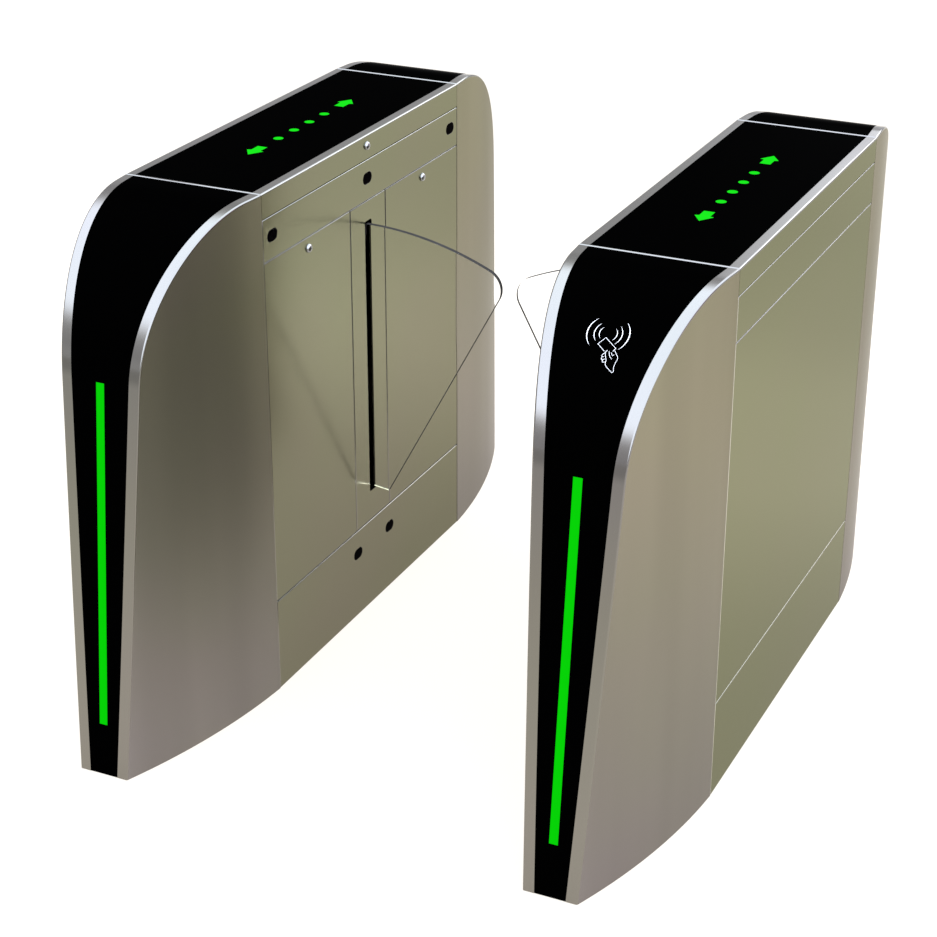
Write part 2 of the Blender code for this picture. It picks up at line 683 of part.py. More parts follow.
def outer_panel():
    """Fixed panel on the side away from the lane, with a groove where the bands meet."""
    panel = tray(-1, -MIDDLE_END, MIDDLE_END, FOOT_GAP, LID_LINE - SEAM_GAP / 2)
    grooves = [box((-HALF_WIDTH - OVERRUN, -MIDDLE_END - OVERRUN, line - GROOVE_WIDTH / 2),
                   (-HALF_WIDTH + GROOVE_DEPTH, MIDDLE_END + OVERRUN, line + GROOVE_WIDTH / 2))
               for line in (SENSOR_LINE, BASE_LINE)]
    return cut(panel, *grooves)


def base_frame():
    """Welded frame: floor plate, a ladder on each side, and ties across the top of the seams."""
    inset = SHEET + 2 * FIT_GAP
    half = plan_half(inset, SEAM, END - WEB_DEPTH / math.cos(PROFILE_LEAN) - OVERRUN)
    half.insert(0, (HALF_WIDTH - inset - EDGE_GAP, SEAM))
    rear = half + [(-x, u) for x, u in half[::-1]]
    front = [(x, -u) for x, u in rear[::-1]]
    holes = [circle((0.0, end * (END - ANCHOR_INSET)), ANCHOR_RADIUS) for end in (-1, 1)]
    holes += [circle((side * ANCHOR_SPREAD, end * (SEAM + ANCHOR_STEP)), ANCHOR_RADIUS)
              for side in (-1, 1) for end in (-1, 1)]
    holes.append(circle((0.0, -CABLE_ENTRY_OFFSET), CABLE_ENTRY_RADIUS))
    floor = plate("XY", tray_safe_outline(rear + front), 0.0, FLOOR_PLATE, holes)
    foot = FLOOR_PLATE - WELD_LAP
    outside = rectangle(-FRAME_END, FRAME_END, foot, RAIL_HEAD)
    clear = FRAME_END - CORNER_POST
    windows = [rectangle(*sorted((end * SLOT_POST_OUTER, end * clear)), BOTTOM_RAIL, RAIL_FOOT) for end in (-1, 1)]
    lane_side = plate("YZ", outside, FRAME_INSIDE, FRAME_FACE, windows)
    lane_side = cut(lane_side, box((0.0, -SLOT_POST_INNER, -OVERRUN), (HALF_WIDTH, SLOT_POST_INNER, RAIL_FOOT)))
    far_window = rectangle(-clear, clear, BOTTOM_RAIL, RAIL_FOOT)
    far_side = plate("YZ", outside, -FRAME_FACE, -FRAME_INSIDE, [far_window])
    tie_reach = FRAME_INSIDE + WELD_LAP
    tie_head = RAIL_HEAD - WELD_LAP
    ties = []
    for end in (-1, 1):
        near, far = sorted((end * (FRAME_END - TIE_SIZE), end * (FRAME_END - WELD_LAP)))
        ties.append(box((-tie_reach, near, tie_head - TIE_SIZE), (tie_reach, far, tie_head)))
    return joined(floor, lane_side, far_side, *ties)


def tray_safe_outline(outline):
    """Floor plate outline held clear of the side panels' returns along the middle."""
    limit = TRAY_BACK - FIT_GAP
    safe = []
    for x, y in outline:
        if abs(y) <= SEAM:
            x = math.copysign(min(abs(x), limit), x)
        safe.append((x, y))
    return safe


def flap_outline():
    """Sector of clear sheet: arc on top, round corner, slanting edge, and a tongue in the cabinet."""
    centre = (HALF_WIDTH - FLAP_ARC_INSET, SLOT_HEAD - FLAP_HEAD_GAP - FLAP_RADIUS)
    reach = (LANE_WIDTH - FLAP_TIP_GAP) / 2
    corner_x = HALF_WIDTH + reach - FLAP_CORNER
    corner_z = centre[1] + math.sqrt((FLAP_RADIUS - FLAP_CORNER) ** 2 - (corner_x - centre[0]) ** 2)
    tail_x = HALF_WIDTH - FLAP_TAIL_INSET
    first = math.acos((tail_x - centre[0]) / FLAP_RADIUS)
    last = math.atan2(corner_z - centre[1], corner_x - centre[0])
    points = arc(centre, FLAP_RADIUS, first, last, FLAP_STEPS)
    points += arc((corner_x, corner_z), FLAP_CORNER, last, -FLAP_EDGE_ANGLE, CORNER_STEPS * 2)[1:]
    edge_x, edge_z = points[-1]
    foot_z = SLOT_FOOT + FLAP_FOOT_RISE
    points.append((edge_x - (edge_z - foot_z) * math.tan(FLAP_EDGE_ANGLE), foot_z))
    tongue_x = HALF_WIDTH - FLAP_FOOT_INSET
    tongue_z = PIVOT_HEIGHT + TONGUE_SEAT
    points += [(tongue_x, foot_z + FLAP_FOOT_SLOPE), (tongue_x, tongue_z)]
    points += [(tongue_x - FLAP_TONGUE_WIDTH, tongue_z), (tongue_x - FLAP_TONGUE_WIDTH, FLAP_TAIL_HEIGHT)]
    return points


def flap():
    return plate("XZ", flap_outline(), -FLAP_THICKNESS / 2, FLAP_THICKNESS / 2)


def lever_outline(pivot_x, pivot_radius, end_radius):
    """Rounded bar from a pivot to the pin below it."""
    dx = PIN_DX
    dz = PIN_Z - PIVOT_HEIGHT
    heading = math.atan2(dz, dx)
    half_turn = math.pi / 2
    top = arc((pivot_x, PIVOT_HEIGHT), pivot_radius, heading + half_turn, heading + 3 * half_turn, CORNER_STEPS * 2)
    foot = arc((pivot_x + dx, PIN_Z), end_radius, heading - half_turn, heading + half_turn, CORNER_STEPS * 2)
    return top + foot


def flap_arm():
    """Shaft with two cheeks that grip the flap's tongue, and the lever that turns it."""
    centre = (PIVOT_X, 0.0, PIVOT_HEIGHT)
    arm = rod("Y", centre, SHAFT_RADIUS, -PLATE_OUTER - SHAFT_OVERHANG, PLATE_OUTER + SHAFT_OVERHANG)
    hub = rod("Y", centre, HUB_RADIUS, -CHEEK_OUTER, CHEEK_OUTER)
    right = HALF_WIDTH - FLAP_FOOT_INSET
    left = right - FLAP_TONGUE_WIDTH
    head = PIVOT_HEIGHT + CHEEK_HEIGHT
    outline = arc((PIVOT_X, PIVOT_HEIGHT), HUB_RADIUS, math.pi, 2 * math.pi, CORNER_STEPS * 2)
    outline += [(right, PIVOT_HEIGHT + TONGUE_SEAT), (right, head - CHEEK_CHAMFER), (right - CHEEK_CHAMFER, head)]
    outline += [(left + CHEEK_CHAMFER, head), (left, head - CHEEK_CHAMFER), (left, PIVOT_HEIGHT + TONGUE_SEAT)]
    grip = FLAP_THICKNESS / 2 + FIT_GAP
    cheeks = [plate("XZ", outline, low, high) for low, high in ((-CHEEK_OUTER, -grip), (grip, CHEEK_OUTER))]
    seat_z = PIVOT_HEIGHT + TONGUE_SEAT - FIT_GAP
    web = box((left, -grip - WELD_LAP, PIVOT_HEIGHT + SHAFT_RADIUS), (right, grip + WELD_LAP, seat_z))
    lever = plate("XZ", lever_outline(PIVOT_X, HUB_RADIUS, LEVER_END_RADIUS), LEVER_LOW_Y, LEVER_HIGH_Y)
    pin = rod("Y", (PIVOT_X + PIN_DX, 0.0, PIN_Z), PIN_RADIUS, LEVER_HIGH_Y - WELD_LAP, LINK_HIGH_Y + WELD_LAP)
    return joined(arm, hub, *cheeks, web, lever, pin)


def motor_crank():
    crank = plate("XZ", lever_outline(MOTOR_X, CRANK_HUB_RADIUS, LEVER_END_RADIUS), LEVER_LOW_Y, LEVER_HIGH_Y)
    bore = rod("Y", (MOTOR_X, 0.0, PIVOT_HEIGHT), MOTOR_SHAFT_RADIUS + FIT_GAP,
               LEVER_LOW_Y - OVERRUN, LEVER_HIGH_Y + OVERRUN)
    pin = rod("Y", (MOTOR_X + PIN_DX, 0.0, PIN_Z), PIN_RADIUS, LEVER_HIGH_Y - WELD_LAP, LINK_HIGH_Y + WELD_LAP)
    return joined(cut(crank, bore), pin)


def drive_link():
    """Bar with an eye at each end, level between the crank's pin and the lever's pin."""
    ends = (MOTOR_X + PIN_DX, PIVOT_X + PIN_DX)
    outline = arc((ends[1], PIN_Z), LINK_HALF_WIDTH, -math.pi / 2, math.pi / 2, CORNER_STEPS * 2)
    outline += arc((ends[0], PIN_Z), LINK_HALF_WIDTH, math.pi / 2, 3 * math.pi / 2, CORNER_STEPS * 2)
    eyes = [circle((x, PIN_Z), PIN_RADIUS + BEARING_GAP) for x in ends]
    return plate("XZ", outline, LINK_LOW_Y, LINK_HIGH_Y, eyes)


def drive_bracket():
    """Bracket on the floor plate: two bearing plates for the shaft, the front one also holds the motor."""
    back = MOTOR_X - BRACKET_BACK_MARGIN
    base = box((back, -PLATE_OUTER, BRACKET_FOOT), (BRACKET_EDGE, PLATE_OUTER, BRACKET_FLOOR))
    foot = BRACKET_FLOOR - WELD_LAP
    shaft_hole = circle((PIVOT_X, PIVOT_HEIGHT), SHAFT_RADIUS + BEARING_GAP)
    motor_hole = circle((MOTOR_X, PIVOT_HEIGHT), MOTOR_BOSS_RADIUS + FIT_GAP)
    front = plate("XZ", rectangle(back, BRACKET_EDGE, foot, BRACKET_TOP), -PLATE_OUTER + WELD_LAP / 2, -PLATE_INNER,
                  [shaft_hole, motor_hole])
    rear = plate("XZ", rectangle(BRACKET_EDGE - BEARING_PLATE_WIDTH, BRACKET_EDGE, foot, BRACKET_TOP),
                 PLATE_INNER, PLATE_OUTER - WELD_LAP / 2, [shaft_hole])
    return joined(base, front, rear)


def gearmotor():
    """Gearmotor along Y behind the front plate: output shaft, pilot boss, gearbox, motor and cap."""
    face = -PLATE_OUTER - FIT_GAP
    boss = face + MOTOR_BOSS_LENGTH
    box_end = face - GEARBOX_LENGTH
    motor_end = box_end - MOTOR_LENGTH
    cap_end = motor_end - MOTOR_CAP_LENGTH
    profile = [(0.0, LEVER_HIGH_Y), (MOTOR_SHAFT_RADIUS, LEVER_HIGH_Y), (MOTOR_SHAFT_RADIUS, boss)]
    profile += [(MOTOR_BOSS_RADIUS, boss), (MOTOR_BOSS_RADIUS, face), (GEARBOX_RADIUS, face)]
    profile += [(GEARBOX_RADIUS, box_end), (MOTOR_RADIUS, box_end), (MOTOR_RADIUS, motor_end)]
    profile += [(MOTOR_CAP_RADIUS, motor_end), (MOTOR_CAP_RADIUS, cap_end), (0.0, cap_end)]
    return turned(profile, "Y", (MOTOR_X, 0.0, PIVOT_HEIGHT))


def stop_buffer():
    """Rubber saddle under the lever, whose two arms stop it at the closed and the open end."""
    open_angle = FLAP_SWING - LEVER_REST_ANGLE
    left = PIVOT_X + PIN_DX - LEVER_END_RADIUS - FIT_GAP
    right = PIVOT_X + LEVER_LENGTH * math.sin(open_angle) + LEVER_END_RADIUS + FIT_GAP
    right_edge = min(right + STOP_ARM, BRACKET_EDGE)
    low = BRACKET_FLOOR + FIT_GAP
    floor = PIVOT_HEIGHT - LEVER_LENGTH - LEVER_END_RADIUS - STOP_ARM
    head = PIN_Z - STOP_DROP
    outline = [(left - STOP_ARM, low), (right_edge, low), (right_edge, head), (right, head), (right, floor)]
    outline += [(left, floor), (left, head), (left - STOP_ARM, head)]
    return plate("XZ", outline, LEVER_LOW_Y, LEVER_HIGH_Y)


def controller():
    """Controller and power supply in one box on the floor plate, with a raised cover."""
    low = (-FRAME_INSIDE + FIT_GAP, CONTROLLER_SETBACK, BRACKET_FOOT)
    high = (low[0] + CONTROLLER_WIDTH, low[1] + CONTROLLER_LENGTH, BRACKET_FOOT + CONTROLLER_HEIGHT)
    case = bevelled(box(low, high), CONTROLLER_BEVEL)
    cover = box((low[0] + COVER_INSET, low[1] + COVER_INSET, high[2] - WELD_LAP),
                (high[0] - COVER_INSET, high[1] - COVER_INSET, high[2] + COVER_RISE))
    return joined(case, cover)


def card_reader():
    """Flat reader behind the rear strip, square to the curve and touching it at both its edges."""
    half = READER_LENGTH / 2
    inner_radius = PROFILE_RADIUS - WEB_DEPTH - FIT_GAP
    face = math.sqrt(inner_radius ** 2 - half ** 2)
    case = box((-READER_WIDTH / 2, -half, face - READER_THICKNESS), (READER_WIDTH / 2, half, face))
    case.matrix_world = (Matrix.Translation((0.0, PROFILE_START, HEIGHT - PROFILE_RADIUS))
                         @ Matrix.Rotation(READER_ANGLE - math.pi / 2, 4, "X"))
    bpy.context.view_layer.update()
    return bevelled(baked(case), READER_BEVEL)


def pieces():
    """Every piece of one cabinet: its name, finish, joint axis point, and a function that makes it."""
    shaft = (PIVOT_X, 0.0, PIVOT_HEIGHT)
    crank = (MOTOR_X, 0.0, PIVOT_HEIGHT)
    crank_pin = (MOTOR_X + PIN_DX, 0.0, PIN_Z)
    lid_axis = (-TRUNNION_X, 0.0, LID_TRUNNION_Z)
    lid_lock_z = LID_LINE + LID_LOCK_RISE
    rows = [("base_frame", "frame_steel", None, base_frame)]
    for name, end in (("front", -1), ("rear", 1)):
        lock_y, lock_z = door_lock_place(end)
        hinge = (TRUNNION_X, end * DOOR_EDGE, DOOR_TRUNNION_Z)
        rows += [
            (name + "_shell", "brushed_steel", None, lambda end=end: end_shell(end)),
            (name + "_strip", "black_gloss", None, lambda end=end: end_strip(end)),
            (name + "_light", "green_light", None, lambda end=end: end_light(end)),
            (name + "_door", "brushed_steel", hinge, lambda end=end: door(end)),
            (name + "_door_lock", "chrome", (HALF_WIDTH, lock_y, lock_z),
             lambda end=end, y=lock_y, z=lock_z: cam_lock(y, z, DOOR_CAM_LENGTH, end)),
        ]
    rows += [
        ("lid_shell", "brushed_steel", lid_axis, lid_shell),
        ("lid_panel", "black_gloss", lid_axis, lid_panel),
        ("lid_lights", "green_light", lid_axis, lid_lights),
        ("lid_lock", "chrome", (HALF_WIDTH, 0.0, lid_lock_z), lambda: cam_lock(0.0, lid_lock_z, LID_CAM_LENGTH, 1)),
        ("sensor_band", "brushed_steel", None, sensor_band),
        ("base_band", "brushed_steel", None, base_band),
        ("slot_panel", "brushed_steel", None, slot_panel),
        ("outer_panel", "brushed_steel", None, outer_panel),
        ("upper_sensors", "sensor_black", None, lambda: sensor_set(upper_sensor_places())),
        ("lower_sensors", "sensor_black", None, lambda: sensor_set(lower_sensor_places())),
        ("flap", "clear_sheet", shaft, flap),
        ("flap_arm", "machined", shaft, flap_arm),
        ("drive_link", "machined", crank_pin, drive_link),
        ("motor_crank", "machined", crank, motor_crank),
        ("gearmotor", "motor_black", None, gearmotor),
        ("drive_bracket", "frame_steel", None, drive_bracket),
        ("stop_buffer", "rubber", None, stop_buffer),
        ("controller", "case_grey", None, controller),
        ("card_reader", "motor_black", None, card_reader),
    ]
    return rows


def world_name(side, name):
    """The right cabinet is turned half a turn, so its own front end faces the rear of the lane."""
    if side == "right":
        for old, new in (("front_", "rear_"), ("rear_", "front_")):
            if name.startswith(old):
                name = new + name[len(old):]
                break
    return side + "_" + name


def main():
    clear_scene()
    parts = bpy.data.collections.new("flap_barrier_turnstile")
    bpy.context.scene.collection.children.link(parts)
    cabinets = {}
    for side, sign in (("left", -1), ("right", 1)):
        centre = bpy.data.objects.new(side + "_cabinet", None)
        parts.objects.link(centre)
        centre.location = (sign * CABINET_OFFSET, 0.0, 0.0)
        centre.rotation_euler = (0.0, 0.0, 0.0 if sign < 0 else math.pi)
        cabinets[side] = centre
    for name, finish, origin, make in pieces():
        made = make()
        mesh = made.data
        bpy.data.objects.remove(made, do_unlink=True)
        place = Matrix.Translation(origin or (0.0, 0.0, 0.0))
        mesh.transform(place.inverted())
        mesh.name = name
        mesh.materials.append(finish_material(name, finish))
        mesh.shade_smooth()
        mesh.set_sharp_from_angle(angle=math.radians(30))
        for side, cabinet in cabinets.items():
            piece = bpy.data.objects.new(world_name(side, name), mesh)
            parts.objects.link(piece)
            piece.parent = cabinet
            piece.location = place.to_translation()
    bpy.context.view_layer.update()


main()
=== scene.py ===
"""Looks for the flap barrier turnstile: dressed pieces, materials, studio light and the photo's camera.

Each piece is made in its cabinet's own frame, with the lane side towards +X, and then set down twice:
the left cabinet as it is and the right one turned half a turn. All lengths are in metres.
"""

import math

import bmesh
import bpy
from mathutils import Matrix, Vector


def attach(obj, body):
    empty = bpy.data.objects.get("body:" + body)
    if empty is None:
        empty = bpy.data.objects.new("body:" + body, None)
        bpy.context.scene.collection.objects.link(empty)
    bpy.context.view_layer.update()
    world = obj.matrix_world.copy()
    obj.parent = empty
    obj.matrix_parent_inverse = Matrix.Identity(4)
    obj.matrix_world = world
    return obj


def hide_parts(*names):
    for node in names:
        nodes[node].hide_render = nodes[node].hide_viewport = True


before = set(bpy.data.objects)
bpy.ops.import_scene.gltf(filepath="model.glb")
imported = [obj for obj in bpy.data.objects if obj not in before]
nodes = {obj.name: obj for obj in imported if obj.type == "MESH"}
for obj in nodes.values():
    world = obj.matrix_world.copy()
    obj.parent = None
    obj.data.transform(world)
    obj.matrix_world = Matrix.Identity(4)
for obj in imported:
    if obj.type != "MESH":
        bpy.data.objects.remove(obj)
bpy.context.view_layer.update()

# Sizes shared with the CAD source: the cabinet and its curved ends
HEIGHT = 1.000
HALF_WIDTH = 0.140
CABINET_OFFSET = 0.440
SEAM = 0.400
END = 0.8025
SHEET = 0.002
FOOT_GAP = 0.001
PROFILE_START = 0.4373
PROFILE_LEAN = math.radians(6.06)
PROFILE_RADIUS = ((END - PROFILE_START) * math.cos(PROFILE_LEAN) - HEIGHT * math.sin(PROFILE_LEAN)
                  ) / (1 - math.sin(PROFILE_LEAN))
PLAN_START_ANGLE = math.radians(3.65)
NOSE_HALF = 0.049
SHELL_START = 0.4005
MIDDLE_END = 0.3995
TRIM_WIDTH = 0.019
STRIP_THICKNESS = 0.004
STRIP_SEAT = 0.0043
WEB_DEPTH = 0.0063

# Sizes shared with the CAD source: the seams, the panels and their pins
LID_LINE = 0.952
SENSOR_LINE = 0.871
BASE_LINE = 0.191
BAND_GAP = 0.001
LID_FOOT = 0.953
TRAY_BACK = 0.1255
SLOT_EDGE = 0.07225
DOOR_EDGE = 0.07375
DOOR_FOOT = 0.192
DOOR_HEAD = 0.8705
GROOVE_DEPTH = 0.0012
GROOVE_HALF = 0.0006
TRUNNION_X = 0.136
LID_TRUNNION_Z = 0.957
DOOR_TRUNNION_Z = 0.196
TRUNNION_RADIUS = 0.0016
TRUNNION_END = SHELL_START + SHEET

# Sizes of the dressed sheet: rounded folds and edges, lips at the seams, and small gaps
EDGE_ROUND = 0.0035
FACE_DEPTH = 0.0038
FOLD_ROUND = 0.0018
OUTER_ROUND = 0.0014
LIP_WIDTH = 0.0031
LIP_SLOPE = 0.0024
LIP_DROP = 0.0013
DOOR_BACK = 0.1268
STRIP_GAP = 0.00025
STRIP_EDGE = 0.0003
LIGHT_GAP = 0.0001
FLANGE_GAP = 0.0005
OVERRUN = 0.01

# Fineness of the dressed shapes
ARC_ROWS = 72
LEAN_ROWS = 14
ROUND_STEPS = 6
CIRCLE_STEPS = 48
CAPSULE_STEPS = 12
CURVE_STEPS = 5
WELD = 1e-6
BEVEL_ANGLE = math.radians(30)
KEPT_BEVEL_ANGLE = math.radians(40)
SHARP_ANGLE = math.radians(35)


# Plain mesh helpers

def added(name, data):
    """New object in the scene."""
    made = bpy.data.objects.new(name, data)
    bpy.context.scene.collection.objects.link(made)
    return made


def finished(bm):
    """Object of a welded mesh without loose points, its faces turned outwards."""
    bmesh.ops.remove_doubles(bm, verts=bm.verts, dist=WELD)
    bmesh.ops.delete(bm, geom=[v for v in bm.verts if not v.link_faces], context="VERTS")
    bmesh.ops.recalc_face_normals(bm, faces=bm.faces)
    return linked(bm)


def linked(bm):
    """Object that holds a mesh as it is."""
    mesh = bpy.data.meshes.new("piece")
    bm.to_mesh(mesh)
    bm.free()
    return added("piece", mesh)


def baked(piece):
    """Replace a piece by the welded mesh that its curve or its modifiers give."""
    bpy.context.view_layer.update()
    mesh = bpy.data.meshes.new_from_object(piece.evaluated_get(bpy.context.evaluated_depsgraph_get()))
    bm = bmesh.new()
    bm.from_mesh(mesh)
    bmesh.ops.transform(bm, matrix=piece.matrix_world, verts=bm.verts)
    bpy.data.meshes.remove(mesh)
    bpy.data.objects.remove(piece, do_unlink=True)
    return finished(bm)


def box(low, high):
    bm = bmesh.new()
    bmesh.ops.create_cube(bm, size=1.0)
    size = [h - l for l, h in zip(low, high)]
    centre = [(h + l) / 2 for l, h in zip(low, high)]
    bmesh.ops.transform(bm, matrix=Matrix.Translation(centre) @ Matrix.Diagonal((*size, 1.0)), verts=bm.verts)
    return finished(bm)


def plane_turn(plane):
    """Turn that lays the XY plane on the plane of that name."""
    if plane == "XZ":
        return Matrix.Rotation(math.pi / 2, 4, "X")
    if plane == "YZ":
        return Matrix.Rotation(math.pi / 2, 4, "Z") @ Matrix.Rotation(math.pi / 2, 4, "X")
    return Matrix.Identity(4)


def signed_area(loop):
    return sum(a[0] * b[1] - b[0] * a[1] for a, b in zip(loop, loop[1:] + loop[:1])) / 2


def plate(plane, outline, low, high, holes=(), rounding=0.0, steps=2):
    """Flat outline with holes, made solid from low to high across its plane, its edges rounded."""
    curve = bpy.data.curves.new("outline", "CURVE")
    curve.dimensions = "2D"
    curve.fill_mode = "BOTH"
    curve.extrude = (high - low) / 2 - rounding
    curve.bevel_depth = rounding
    curve.bevel_resolution = steps
    curve.offset = -rounding
    for index, loop in enumerate((outline, *holes)):
        if (signed_area(loop) > 0) != (index == 0):
            loop = loop[::-1]
        spline = curve.splines.new("POLY")
        spline.points.add(len(loop) - 1)
        for point, (a, b) in zip(spline.points, loop):
            point.co = (a, b, 0.0, 1.0)
        spline.use_cyclic_u = True
    piece = added("outline", curve)
    across = [0.0 if axis in plane else (low + high) / 2 for axis in "XYZ"]
    piece.matrix_world = Matrix.Translation(across) @ plane_turn(plane)
    return baked(piece)


def cut(piece, *others):
    """Takes the other bodies out of a piece."""
    for other in others:
        boolean = piece.modifiers.new("join", "BOOLEAN")
        boolean.operation = "DIFFERENCE"
        boolean.solver = "EXACT"
        boolean.object = other
        piece = baked(piece)
        bpy.data.objects.remove(other, do_unlink=True)
    return piece


def gathered(*parts):
    """One object that holds the meshes of several closed bodies as they are."""
    bm = bmesh.new()
    for part in parts:
        bm.from_mesh(part.data)
        bpy.data.objects.remove(part, do_unlink=True)
    return linked(bm)


def with_islands(piece, others):
    """Adds closed bodies to a piece whose faces already have their materials."""
    bm = bmesh.new()
    bm.from_mesh(piece.data)
    for other in others:
        bm.from_mesh(other.data)
        bpy.data.objects.remove(other, do_unlink=True)
    bm.faces.index_update()
    bm.to_mesh(piece.data)
    bm.free()
    return piece


def bevelled(piece, width, segments=2):
    bevel = piece.modifiers.new("edges", "BEVEL")
    bevel.width = width
    bevel.segments = segments
    bevel.limit_method = "ANGLE"
    bevel.angle_limit = BEVEL_ANGLE
    return baked(piece)


def slab(tops, lows, keep=lambda i, j: True):
    """Closed solid between two grids of points, with walls round every cell that is left out."""
    bm = bmesh.new()
    top = [[bm.verts.new(p) for p in row] for row in tops]
    low = [[bm.verts.new(p) for p in row] for row in lows]
    cells = {(i, j) for i in range(len(tops) - 1) for j in range(len(tops[0]) - 1) if keep(i, j)}
    for i, j in cells:
        ring = ((i, j), (i, j + 1), (i + 1, j + 1), (i + 1, j))
        bm.faces.new([top[a][b] for a, b in ring])
        bm.faces.new([low[a][b] for a, b in ring[::-1]])
        beside = ((i - 1, j), (i, j + 1), (i + 1, j), (i, j - 1))
        for k, cell in enumerate(beside):
            if cell not in cells:
                (a, b), (c, d) = ring[k], ring[(k + 1) % 4]
                bm.faces.new((top[c][d], top[a][b], low[a][b], low[c][d]))
    return finished(bm)


def turned(profile, axis, centre, steps=CIRCLE_STEPS):
    """Profile of (radius, place along the axis), both ends on the axis, turned into a closed solid."""
    bm = bmesh.new()
    rings = []
    for radius, along in profile:
        count = 1 if radius == 0 else steps
        ring = []
        for i in range(count):
            angle = 2 * math.pi * i / steps
            a, b = radius * math.cos(angle), radius * math.sin(angle)
            place = {"X": (along, a, b), "Y": (b, along, a), "Z": (a, b, along)}[axis]
            ring.append(bm.verts.new(place))
        rings.append(ring)
    for first, second in zip(rings, rings[1:]):
        for i in range(steps):
            j = (i + 1) % steps
            corners = [first[i % len(first)], first[j % len(first)],
                       second[j % len(second)], second[i % len(second)]]
            corners = list(dict.fromkeys(corners))
            if len(corners) > 2:
                bm.faces.new(corners)
    bmesh.ops.translate(bm, vec=Vector(centre), verts=bm.verts)
    return finished(bm)


def rod(axis, centre, radius, low, high, chamfer=0.0, steps=16):
    """Round bar along an axis, its ends chamfered where a chamfer is given."""
    profile = [(0.0, low), (radius - chamfer, low), (radius, low + chamfer), (radius, high - chamfer),
               (radius - chamfer, high), (0.0, high)]
    if chamfer == 0.0:
        profile = [(0.0, low), (radius, low), (radius, high), (0.0, high)]
    return turned(profile, axis, centre, steps)


def arc(centre, radius, start, stop, steps):
    angles = [start + (stop - start) * i / steps for i in range(steps + 1)]
    return [(centre[0] + radius * math.cos(a), centre[1] + radius * math.sin(a)) for a in angles]


def circle(centre, radius):
    return arc(centre, radius, 0.0, 2 * math.pi, CIRCLE_STEPS)[:-1]


def rectangle(low_a, high_a, low_b, high_b):
    return [(low_a, low_b), (high_a, low_b), (high_a, high_b), (low_a, high_b)]


def rounded_rectangle(low_a, high_a, low_b, high_b, radius, steps=8):
    centres = [(high_a - radius, low_b + radius), (high_a - radius, high_b - radius),
               (low_a + radius, high_b - radius), (low_a + radius, low_b + radius)]
    points = []
    for i, centre in enumerate(centres):
        start = (i - 1) * math.pi / 2
        points += arc(centre, radius, start, start + math.pi / 2, steps)
    return points


def capsule(centre, length, height):
    reach = (length - height) / 2
    right = arc((centre[0] + reach, centre[1]), height / 2, -math.pi / 2, math.pi / 2, CAPSULE_STEPS)
    left = arc((centre[0] - reach, centre[1]), height / 2, math.pi / 2, 3 * math.pi / 2, CAPSULE_STEPS)
    return right + left


# The curved ends: a plan curve and a side profile

def plan_arc():
    """Centre and radius of the plan curve, from the seam to the nose."""
    run, drop = END - SEAM, HALF_WIDTH - NOSE_HALF
    radius = math.hypot(run, drop) / (2 * math.sin(math.atan2(drop, run) - PLAN_START_ANGLE))
    return (HALF_WIDTH - radius * math.cos(PLAN_START_ANGLE), SEAM - radius * math.sin(PLAN_START_ANGLE),
            radius)


PLAN_X, PLAN_U, PLAN_RADIUS = plan_arc()


def plan_half(u, inset=0.0):
    """Half width of the cabinet at a place along it."""
    return PLAN_X + math.sqrt((PLAN_RADIUS - inset) ** 2 - (u - PLAN_U) ** 2)


def plan_normal(u):
    """Outward normal of the plan curve: its parts across the cabinet and along it."""
    across = (u - PLAN_U) / PLAN_RADIUS
    return math.sqrt(1 - across * across), across


def arc_row(angle):
    """Row (u, z, angle of the outward normal) on the arc of the side profile."""
    return (PROFILE_START + PROFILE_RADIUS * math.cos(angle),
            HEIGHT - PROFILE_RADIUS + PROFILE_RADIUS * math.sin(angle), angle)


def profile_rows(starts=(SHELL_START,), foot=FOOT_GAP, lean_heights=()):
    """Rows from the seam over the arc and down to the floor."""
    rows = [(start, HEIGHT, math.pi / 2) for start in starts]
    rows += [arc_row(math.pi / 2 + (PROFILE_LEAN - math.pi / 2) * i / ARC_ROWS) for i in range(ARC_ROWS + 1)]
    last_u, last_z, _ = rows[-1]
    heights = [last_z + (foot - last_z) * i / LEAN_ROWS for i in range(1, LEAN_ROWS + 1)]
    heights = sorted(set(heights) | set(lean_heights), reverse=True)
    rows += [(last_u + (last_z - z) * math.tan(PROFILE_LEAN), z, PROFILE_LEAN) for z in heights]
    return rows


def on_profile(end, row, x, depth=0.0):
    """A point of a row, that far across the cabinet and that deep below the outer surface."""
    u, z, angle = row
    return Vector((x, end * (u - depth * math.cos(angle)), z - depth * math.sin(angle)))


